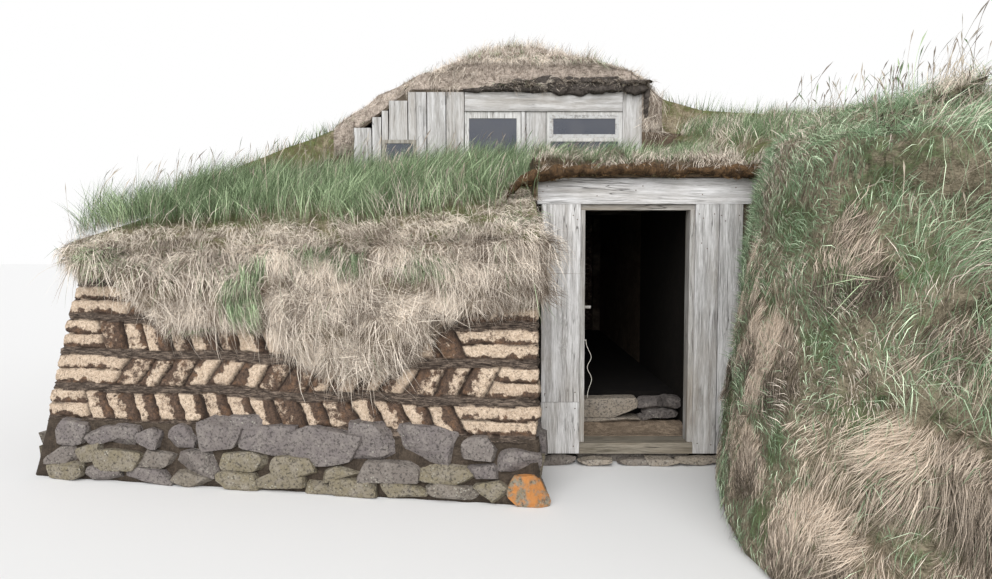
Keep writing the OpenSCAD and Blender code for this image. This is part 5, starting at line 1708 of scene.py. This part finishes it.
def rim(p: Array) -> Array:
    """Distance behind a line 0.16 m inside the front edge of the wing's sod."""
    return (p[:, 1] + 0.90 - 0.176 * (-0.76 - p[:, 0])) - 0.16


def off_corner(p: Array) -> Array:
    """The wing without its corner by the door."""
    return 1.0 - 0.97 * smooth_step(-1.10, -0.96, p[:, 0]) * smooth_step(0.6, 0.1, p[:, 1])


def inside_bank(p: Array) -> Array:
    """The bank but for its right and front edges."""
    return (p[:, 0] < 2.95) & (p[:, 1] > -2.5)


def clear_bank(p: Array) -> Array:
    """The same, with few blades low down by the door."""
    return inside_bank(p) * np.where(p[:, 1] > -0.28, np.clip((p[:, 2] - 1.2) * 2, 0.15, 1.0), 1.0)


def bank_length(p: Array, n: Array) -> Array:
    """Blades of the bank are shorter on its face by the door."""
    return 1.0 - 0.55 * smooth_step(0.2, 0.6, -n[:, 0]) * smooth_step(1.6, 1.0, p[:, 0])


def bank_flow(p: Array) -> Array:
    """Direction in which the bank's locks fall: straight down by the door, and more to the left in front."""
    share = smooth_step(0.1, 1.4, -p[:, 1])[:, None]
    return np.array([0.05, -0.35, -1.0]) + share * np.array([-0.75, 0.0, 0.1])


def bank_straw(p: Array) -> Array:
    """Share of straw on the bank: whole mounds of it low down, few above, with green at their lower ends."""
    place, values, far, below = BANK_LOCKS.below(p)
    mound = smooth_step(1.10, 0.65, place[:, 2] / 1.6 - 0.42 * values[:, 2])
    return np.clip(mound * smooth_step(0.26, 0.02, below) * smooth_step(0.46, 0.30, far) + 0.09, 0.0, 1.0)


@dataclass
class Growth:
    """All the grass on the house."""

    def build(self) -> None:
        """Makes the lumpy sods, and then the grass on them, kind by kind."""
        Sod("sod_fringe", 0.045, 0.075, MAT_LOCKS, mat_hold).build(
            "front_mat", Thatch(slot="dry_grass", share=0.12, straw=(0.47, 0.40, 0.31)))
        Sod("bank_right", 0.09, 0.22, BANK_LOCKS, bank_hold).build(
            "bank_sod", Thatch(straw=(0.36, 0.31, 0.22), shade=(0.10, 0.085, 0.055), green=(0.15, 0.21, 0.095)))
        Sod("sod_main_roof", 0.14, 0.05, ROOF_LOCKS, roof_hold).build(
            "roof_sod", Thatch(slot="dry_grass", share=0.22, straw=(0.66, 0.56, 0.48), shade=(0.15, 0.12, 0.095)))
        Thatch(share=0.75).dress("sod_left", "sod_right", "sod_rear")
        Thatch(slot="moss_sod", share=0.4, straw=(0.16, 0.115, 0.07), shade=(0.03, 0.02, 0.014),
               green=(0.07, 0.085, 0.03)).dress("sod_entrance")
        self.droop()
        for kind in (*self.front_kinds(), *self.wing_kinds(), *self.roof_kinds(), *self.entrance_kinds(),
                     *self.bank_kinds()):
            kind.build()

    @staticmethod
    def droop() -> None:
        """Mossy edge of the entrance's sod, which droops over the lintel's left end and the wing.

        A round outline is carried along a bent line, and its radius is moved by two noises that make the lumps.
        """
        steps, around = 170, 16
        line = np.array([[-0.96, 0.0, 1.92], [-0.93, -0.03, 1.99], [-0.85, -0.06, 2.06], [-0.70, -0.075, 2.12],
                         [-0.50, -0.075, 2.136], [-0.1, -0.075, 2.140], [0.4, -0.075, 2.136], [0.96, -0.06, 2.125]])
        reach = np.concatenate([[0.0], np.cumsum(np.linalg.norm(np.diff(line, axis=0), axis=1))])
        t = np.linspace(0.0, reach[-1], steps)
        core = np.stack([np.interp(t, reach, line[:, i]) for i in range(3)], axis=1)[:, None]
        a = np.linspace(0.0, 2 * math.pi, around, endpoint=False)[None, :, None]
        ends = np.minimum(1.0, 9.0 * np.minimum(t, reach[-1] - t) + 0.05)[:, None, None] ** 0.5
        shape = np.concatenate([0 * a, np.cos(a) * 0.056, np.sin(a) * 0.038], axis=2)
        p = core + shape * ends
        lumps = 1.0 + 0.7 * lattice_noise(p * np.array([8.0, 4.0, 4.0]), 91)[..., None]
        p = core + shape * ends * lumps * (1.0 + 0.5 * layered_noise(p * 26.0, 92, 3)[..., None])
        surface = Surface(p.reshape(-1, 3), tube_faces(steps, around))
        make_piece("entrance_droop", surface, Thatch(slot="moss_sod", share=0.2, straw=(0.17, 0.10, 0.05),
                                                     shade=(0.03, 0.02, 0.013), green=(0.10, 0.09, 0.03)))
        GROUNDS["entrance_droop"] = Ground.on_quads(surface)

    @staticmethod
    def front_kinds() -> list[Grass]:
        """Straw mat that hangs over the wing's front."""
        node, down = ("sod_fringe",), MAT_LOCKS.flow
        return [
            # Painted shade and light in the straw's tone: darker at the lower end of each lock, lighter higher up the
            # mat, and darker away from its middle.
            Grass("front_mat_straw", node, 48000, (0.06, 0.17), 0.0028, Habit.HANGING, clump=0.15, pull=0.5,
                  green=0.04, patch=0.25, flow=down, spread=1.5, seed=11, finish=DRY,
                  weight=lambda p, n: on_front(p, n) * MAT_LOCKS.share(p),
                  tone=lambda p: (MAT_LOCKS.tone(p) + 0.22 * (p[:, 2] - 1.35)
                                  - 0.14 * smooth_step(0.5, 1.2, np.abs(p[:, 0] + 2.1)))),
            Grass("front_mat_top", node, 7000, (0.10, 0.22), 0.0030, Habit.DROOPING, clump=0.16, pull=0.4,
                  green=0.06, patch=0.3, flow=(0.0, -0.7, -0.8), spread=1.6, seed=25, finish=DRY,
                  # Painted light: the blades on the mat's top are a fixed step lighter.
                  tone=lambda p: np.full(len(p), 0.08),
                  weight=lambda p, n: np.clip(n[:, 2] * 3.0 - 0.4, 0.0, 1.0)),
            Grass("front_mat_long", node, 1800, (0.16, 0.34), 0.0026, Habit.HANGING, pull=0.3, green=0.04, flow=down,
                  spread=0.9, seed=10, weight=on_front, segments=3, finish=DRY),
            Grass("front_mat_green", node, 3000, (0.07, 0.16), 0.0030, Habit.DROOPING, clump=0.1, green=0.97,
                  patch=0.2, seed=12, flow=down,
                  weight=lambda p, n: np.clip(3.0 * lattice_noise(p * 3.0, 77) - 0.8, 0.0, 1.0) * (n[:, 1] < 0))]

    @staticmethod
    def wing_kinds() -> list[Grass]:
        """Grass on the wing's sod, and the tall seed stalks on the wing and the bank."""
        node = ("sod_left",)
        return [
            Grass("wing_rim_straw", node, 12500, (0.07, 0.17), 0.0030, Habit.DROOPING, clump=0.15, pull=0.5,
                  green=0.10, patch=0.3, flow=(0.0, -1.0, -0.5), spread=1.6, seed=21, finish=DRY,
                  weight=lambda p, n: np.clip(1.0 - rim(p) * 5.0, 0.0, 1.0)),
            Grass("wing_grass_tall", node, 34000, (0.16, 0.38), 0.0034, Habit.UPRIGHT, clump=0.14, pull=0.2,
                  green=0.92, patch=0.5, spread=0.9, seed=13,
                  weight=lambda p, n: on_top(p, n) * np.clip(rim(p) * 9.0 + 0.3, 0.0, 1.0) * off_corner(p)
                  * np.clip(0.75 + 0.8 * lattice_noise(p * 1.7, 5), 0.1, 1.0)),
            Grass("corner_straw", node, 2500, (0.05, 0.13), 0.0030, Habit.DROOPING, clump=0.1, pull=0.4,
                  green=0.12, patch=0.2, flow=(0.1, -0.8, -0.4), spread=1.6, seed=32, finish=DRY,
                  weight=lambda p, n: (p[:, 0] > -1.12) * (p[:, 1] < 0.6) * np.clip(n[:, 2] * 2, 0.0, 1.0)),
            Grass("wing_grass_straw", node, 4000, (0.10, 0.26), 0.0032, Habit.UPRIGHT, clump=0.1, pull=0.4,
                  green=0.15, spread=1.1, seed=14, weight=lambda p, n: on_top(p, n) * off_corner(p)),
            Grass("wing_stalks", node, 420, (0.36, 0.50), 0.0026, Habit.UPRIGHT, clump=0.2, pull=0.1, green=0.2,
                  spread=0.45, seed=22, segments=7, head=0.003, finish=SEEDS,
                  weight=lambda p, n: on_top(p, n) * off_corner(p)),
            Grass("bank_stalks", ("bank_right",), 420, (0.26, 0.42), 0.0024, Habit.UPRIGHT, clump=0.25, pull=0.15,
                  green=0.2, spread=0.5, seed=26, segments=7, head=0.0036, finish=SEEDS,
                  weight=lambda p, n: on_top(p, n) * inside_bank(p) * (p[:, 2] > 1.55))]

    @staticmethod
    def roof_kinds() -> list[Grass]:
        """Short grass and straw on the roof's sods."""
        node = ("sod_main_roof",)
        return [
            Grass("roof_grass", node, 38000, (0.035, 0.11), 0.0036, Habit.UPRIGHT, pull=0.4, green=0.10, spread=1.3,
                  seed=15, weight=lambda p, n: np.clip(n[:, 2] + 0.35, 0.0, 1.0), segments=1,
                  scale=lambda p, n: 1.0 - 0.5 * smooth_step(-1.3, -1.7, p[:, 0]),
                  finish=Blades(slot="dry_grass", straw_light=(0.98, 0.88, 0.78))),
            Grass("roof_rim_straw", ("roof_edge_turves",), 5000, (0.04, 0.11), 0.0032, Habit.DROOPING, clump=0.08,
                  pull=0.4, green=0.03, flow=(0.0, -0.9, -0.7), spread=1.4, seed=30, finish=DRY,
                  weight=lambda p, n: (p[:, 2] > 3.16) * on_top(p, n)),
            Grass("post_side_straw", ("wall_right_room", "sod_main_roof"), 5000, (0.08, 0.20), 0.0034, Habit.HANGING,
                  clump=0.14, pull=0.4, green=0.15, spread=1.2, seed=31, finish=DRY,
                  weight=lambda p, n: (p[:, 0] > 0.46) * (p[:, 0] < 1.8) * (p[:, 1] < 2.6) * (p[:, 2] > 2.2)
                  * (n[:, 1] < -0.2) * 1.0),
            Grass("roof_peak_grass", node, 2500, (0.08, 0.17), 0.0036, Habit.UPRIGHT, clump=0.14, pull=0.3,
                  green=0.35, spread=0.9, seed=27, weight=lambda p, n: on_top(p, n) * (p[:, 2] > 3.35)),
            Grass("roof_edge_straw", node, 7000, (0.06, 0.15), 0.0034, Habit.DROOPING, clump=0.1, pull=0.4,
                  green=0.06, flow=(0.0, -0.6, -1.0), spread=1.2, seed=24, finish=DRY,
                  weight=lambda p, n: (p[:, 1] < 2.42) * (p[:, 2] > 3.17) * (n[:, 1] < 0.2) * (n[:, 2] > 0.2) * 1.0),
            Grass("rear_grass", ("sod_rear",), 14000, (0.08, 0.20), 0.006, Habit.UPRIGHT, clump=0.18, pull=0.4,
                  green=0.5, patch=0.7, spread=0.8, seed=16, segments=1,
                  weight=lambda p, n: np.clip(n[:, 2] + 0.4, 0.0, 1.0))]

    @staticmethod
    def entrance_kinds() -> list[Grass]:
        """Grass and moss over the door, and the grass on the flank to its right."""
        return [
            Grass("entrance_grass", ("sod_entrance",), 12000, (0.05, 0.16), 0.0032, Habit.UPRIGHT, clump=0.14,
                  pull=0.4, green=0.62, patch=0.3, spread=1.2, seed=17, weight=on_top),
            Grass("entrance_edge", ("sod_entrance", "entrance_droop"), 5000, (0.04, 0.10), 0.0030, Habit.UPRIGHT,
                  clump=0.1, pull=0.4, green=0.10, patch=0.2, spread=1.6, seed=28, finish=DRY,
                  weight=lambda p, n: (p[:, 1] < 0.25) * np.clip(n[:, 2] * 2 - 0.3, 0.0, 1.0)),
            Grass("entrance_moss", ("entrance_droop",), 20000, (0.012, 0.034), 0.0034, Habit.DROOPING,
                  clump=0.05, pull=0.3, green=0.35, patch=0.16, spread=1.4, seed=23, finish=MOSS, segments=1,
                  weight=lambda p, n: (n[:, 1] < 0.35) * 1.0,
                  tone=lambda p: 0.16 * lattice_noise(p * 9.0, 93) + 2.2 * np.clip(p[:, 2] - 2.125, -0.06, 0.02)),
            Grass("side_grass", ("sod_right",), 9000, (0.08, 0.22), 0.0040, Habit.UPRIGHT, clump=0.14, pull=0.3,
                  green=0.62, patch=0.22, spread=1.0, seed=18,
                  weight=lambda p, n: on_top(p, n) * (p[:, 0] < 2.9))]

    @staticmethod
    def bank_kinds() -> list[Grass]:
        """Locks of straw and tufts of green on the bank."""
        node = ("bank_right",)
        return [
            Grass("bank_locks", node, 50000, (0.12, 0.30), 0.0028, Habit.HANGING, clump=0.30, pull=0.30,
                  green=0.03, patch=0.5, flow=bank_flow, spread=0.62, seed=19, scale=bank_length,
                  finish=Blades(slot="dry_grass", straw_dark=(0.06, 0.047, 0.033), straw_light=(0.74, 0.62, 0.50)),
                  weight=lambda p, n: (n[:, 2] > -0.6) * clear_bank(p) * bank_straw(p) ** 1.5,
                  # Painted shade: the lower end of each lock is darker, where the next lock shades it.
                  tone=lambda p: 1.2 * BANK_LOCKS.tone(p) - 0.02),
            Grass("bank_grass", node, 18000, (0.08, 0.22), 0.0030, Habit.DROOPING, clump=0.14, pull=0.3,
                  green=0.85, flow=bank_flow, spread=1.6, seed=20, scale=bank_length, finish=FRESH,
                  weight=lambda p, n: (1.15 - bank_straw(p)) * (n[:, 2] > -0.3) * clear_bank(p)),
            Grass("bank_tufts", node, 48000, (0.10, 0.25), 0.0034, Habit.ARCHING, clump=0.20, pull=0.35,
                  green=0.74, patch=0.30, spread=1.0, seed=29, finish=FRESH,
                  scale=lambda p, n: bank_length(p, n) * (1.0 - 0.35 * smooth_step(0.4, 0.8, n[:, 2])),
                  weight=lambda p, n: (1.05 - bank_straw(p)) * (n[:, 2] > -0.3) * clear_bank(p)
                  * smooth_step(0.3, 1.0, p[:, 2]))]


# String, light and camera

STRING_START = (-0.368, 0.038, 0.910)
STRING_ROUTE = np.array([
    (0, 0, 3), (1, 0, -15), (6, -1, -40), (18, -3, -70), (32, -4, -98), (39, -4, -128), (30, -3, -155), (17, -1, -178),
    (12, 0, -205), (20, -2, -232), (35, -5, -258), (43, -6, -288), (36, -5, -322), (24, -3, -355), (16, -1, -390),
    (13, 0, -428)]) / 1000.0


@dataclass
class HangingString:
    """Loose end of string tied to the staple on the left jamb."""

    radius: float = 0.002
    steps: int = 3
    around: int = 10

    def path(self) -> Array:
        """Smooth curve through the route's points, with steps between two of them."""
        p = STRING_ROUTE + np.array(STRING_START)
        m = len(p) - 1
        i = np.repeat(np.arange(m), self.steps)
        t = np.tile(np.arange(self.steps) / self.steps, m)[:, None]
        a, b, c, d = p[np.maximum(i - 1, 0)], p[i], p[i + 1], p[np.minimum(i + 2, m)]
        curve = 0.5 * (2 * b + (c - a) * t + (2 * a - 5 * b + 4 * c - d) * t**2 + (3 * b - 3 * c + d - a) * t**3)
        return np.concatenate([curve, p[-1:]])

    def build(self) -> None:
        """Makes the string as a tube along its path that closes to a point at each end."""
        path = self.path()
        ends = np.concatenate([path[:1], path, path[-1:]])
        ahead = unit(np.concatenate([path[1:2] - path[:1], path[2:] - path[:-2], path[-1:] - path[-2:-1]]))
        ahead = np.concatenate([ahead[:1], ahead, ahead[-1:]])
        u = unit(np.cross(np.array([0.0, 1.0, 0.0]), ahead))
        v = np.cross(ahead, u)
        angle = np.linspace(0.0, 2 * math.pi, self.around, endpoint=False)
        size = self.radius * np.concatenate([[0.001], np.ones(len(path)), [0.001]])
        ring = np.cos(angle)[None, :, None] * u[:, None] + np.sin(angle)[None, :, None] * v[:, None]
        points = ends[:, None] + size[:, None, None] * ring
        surface = Surface(points.reshape(-1, 3), [grid_faces(len(ends), self.around, wrap=True)])
        piece = make_piece("door_string", surface, String(), ("cord",))


@dataclass
class Studio:
    """Camera at the place of view, soft light and a pale floor."""

    eye: Point = (-1.028, -5.4, 1.6)
    lens: float = 27.04
    tilt: float = 3.35
    sky: float = 0.62
    lamp: float = 3.2
    lamp_angle: float = 60.0
    lamp_turn: tuple[float, float] = (58.0, -12.0)
    ground: float = 60.0

    def camera(self) -> None:
        """Places the camera."""
        data = bpy.data.cameras.new("camera")
        data.lens, data.sensor_width, data.clip_end = self.lens, 36.0, 200.0  # millimetres, and metres of reach
        camera = bpy.data.objects.new("camera", data)
        camera.location = self.eye
        camera.rotation_euler = (math.radians(90 - self.tilt), 0.0, 0.0)
        bpy.context.scene.collection.objects.link(camera)
        bpy.context.scene.camera = camera

    def light(self) -> None:
        """Even sky light with one broad soft lamp, a white background and the floor."""
        scene = bpy.context.scene
        scene.view_settings.view_transform = "Standard"
        world = bpy.data.worlds.new("sky")
        world.use_nodes = True
        world.node_tree.nodes.clear()
        b = Board(world.node_tree)
        path = b.add("ShaderNodeLightPath")
        seen = b.math("MAXIMUM", path.outputs["Is Camera Ray"],
                      b.math("MAXIMUM", path.outputs["Is Glossy Ray"], path.outputs["Is Transmission Ray"]))
        strength = b.plus(self.sky, b.times(seen, 0.38))
        sky = b.add("ShaderNodeBackground", {"Color": (1.0, 1.0, 1.0, 1.0), "Strength": strength})
        b.add("ShaderNodeOutputWorld", {"Surface": sky.outputs[0]})
        scene.world = world
        lamp = bpy.data.lights.new("soft_lamp", "SUN")
        lamp.energy, lamp.angle = self.lamp, math.radians(self.lamp_angle)
        lamp_object = bpy.data.objects.new("soft_lamp", lamp)
        lamp_object.rotation_euler = (*map(math.radians, self.lamp_turn), 0.0)
        scene.collection.objects.link(lamp_object)

    def floor(self) -> None:
        """Pale level floor."""
        mesh = bpy.data.meshes.new("floor")
        r = self.ground
        mesh.from_pydata([(-r, -r, 0.0), (r, -r, 0.0), (r, r, 0.0), (-r, r, 0.0)], [], [(0, 1, 2, 3)])
        paint = bpy.data.materials.new("pale_floor")
        paint.use_nodes = True
        shader = paint.node_tree.nodes["Principled BSDF"]
        shader.inputs["Base Color"].default_value = (0.80, 0.80, 0.80, 1.0)
        shader.inputs["Roughness"].default_value = 0.9
        mesh.materials.append(paint)
        ground = bpy.data.objects.new("pale_floor_plane", mesh)
        bpy.context.scene.collection.objects.link(ground)


def main() -> None:
    """Builds the house and its studio."""
    logging.basicConfig(level=logging.INFO, format="%(message)s")
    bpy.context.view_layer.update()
    studio = Studio()
    studio.camera()
    HangingString().build()
    Earth().dress("core_left", "wall_right_front", "wall_right_room")
    # Near-black earth on the passage walls, the room wall and the floor: painted shade for the dark inside of the
    # house.
    shaded = Earth(light=(0.022, 0.017, 0.013), dark=(0.007, 0.006, 0.005))
    shaded.dress("passage_wall_left", "passage_wall_right", "room_wall")
    Earth(slot="earth_floor", light=(0.012, 0.010, 0.008), dark=(0.004, 0.003, 0.003)).dress("floor")
    for part in (TurfWalls(), Footing(), Threshold(), Doorway(), HouseFront(), EdgeTurves(), Growth()):
        part.build()
    studio.light()
    studio.floor()
    bpy.context.view_layer.update()


if __name__ == "__main__":
    main()
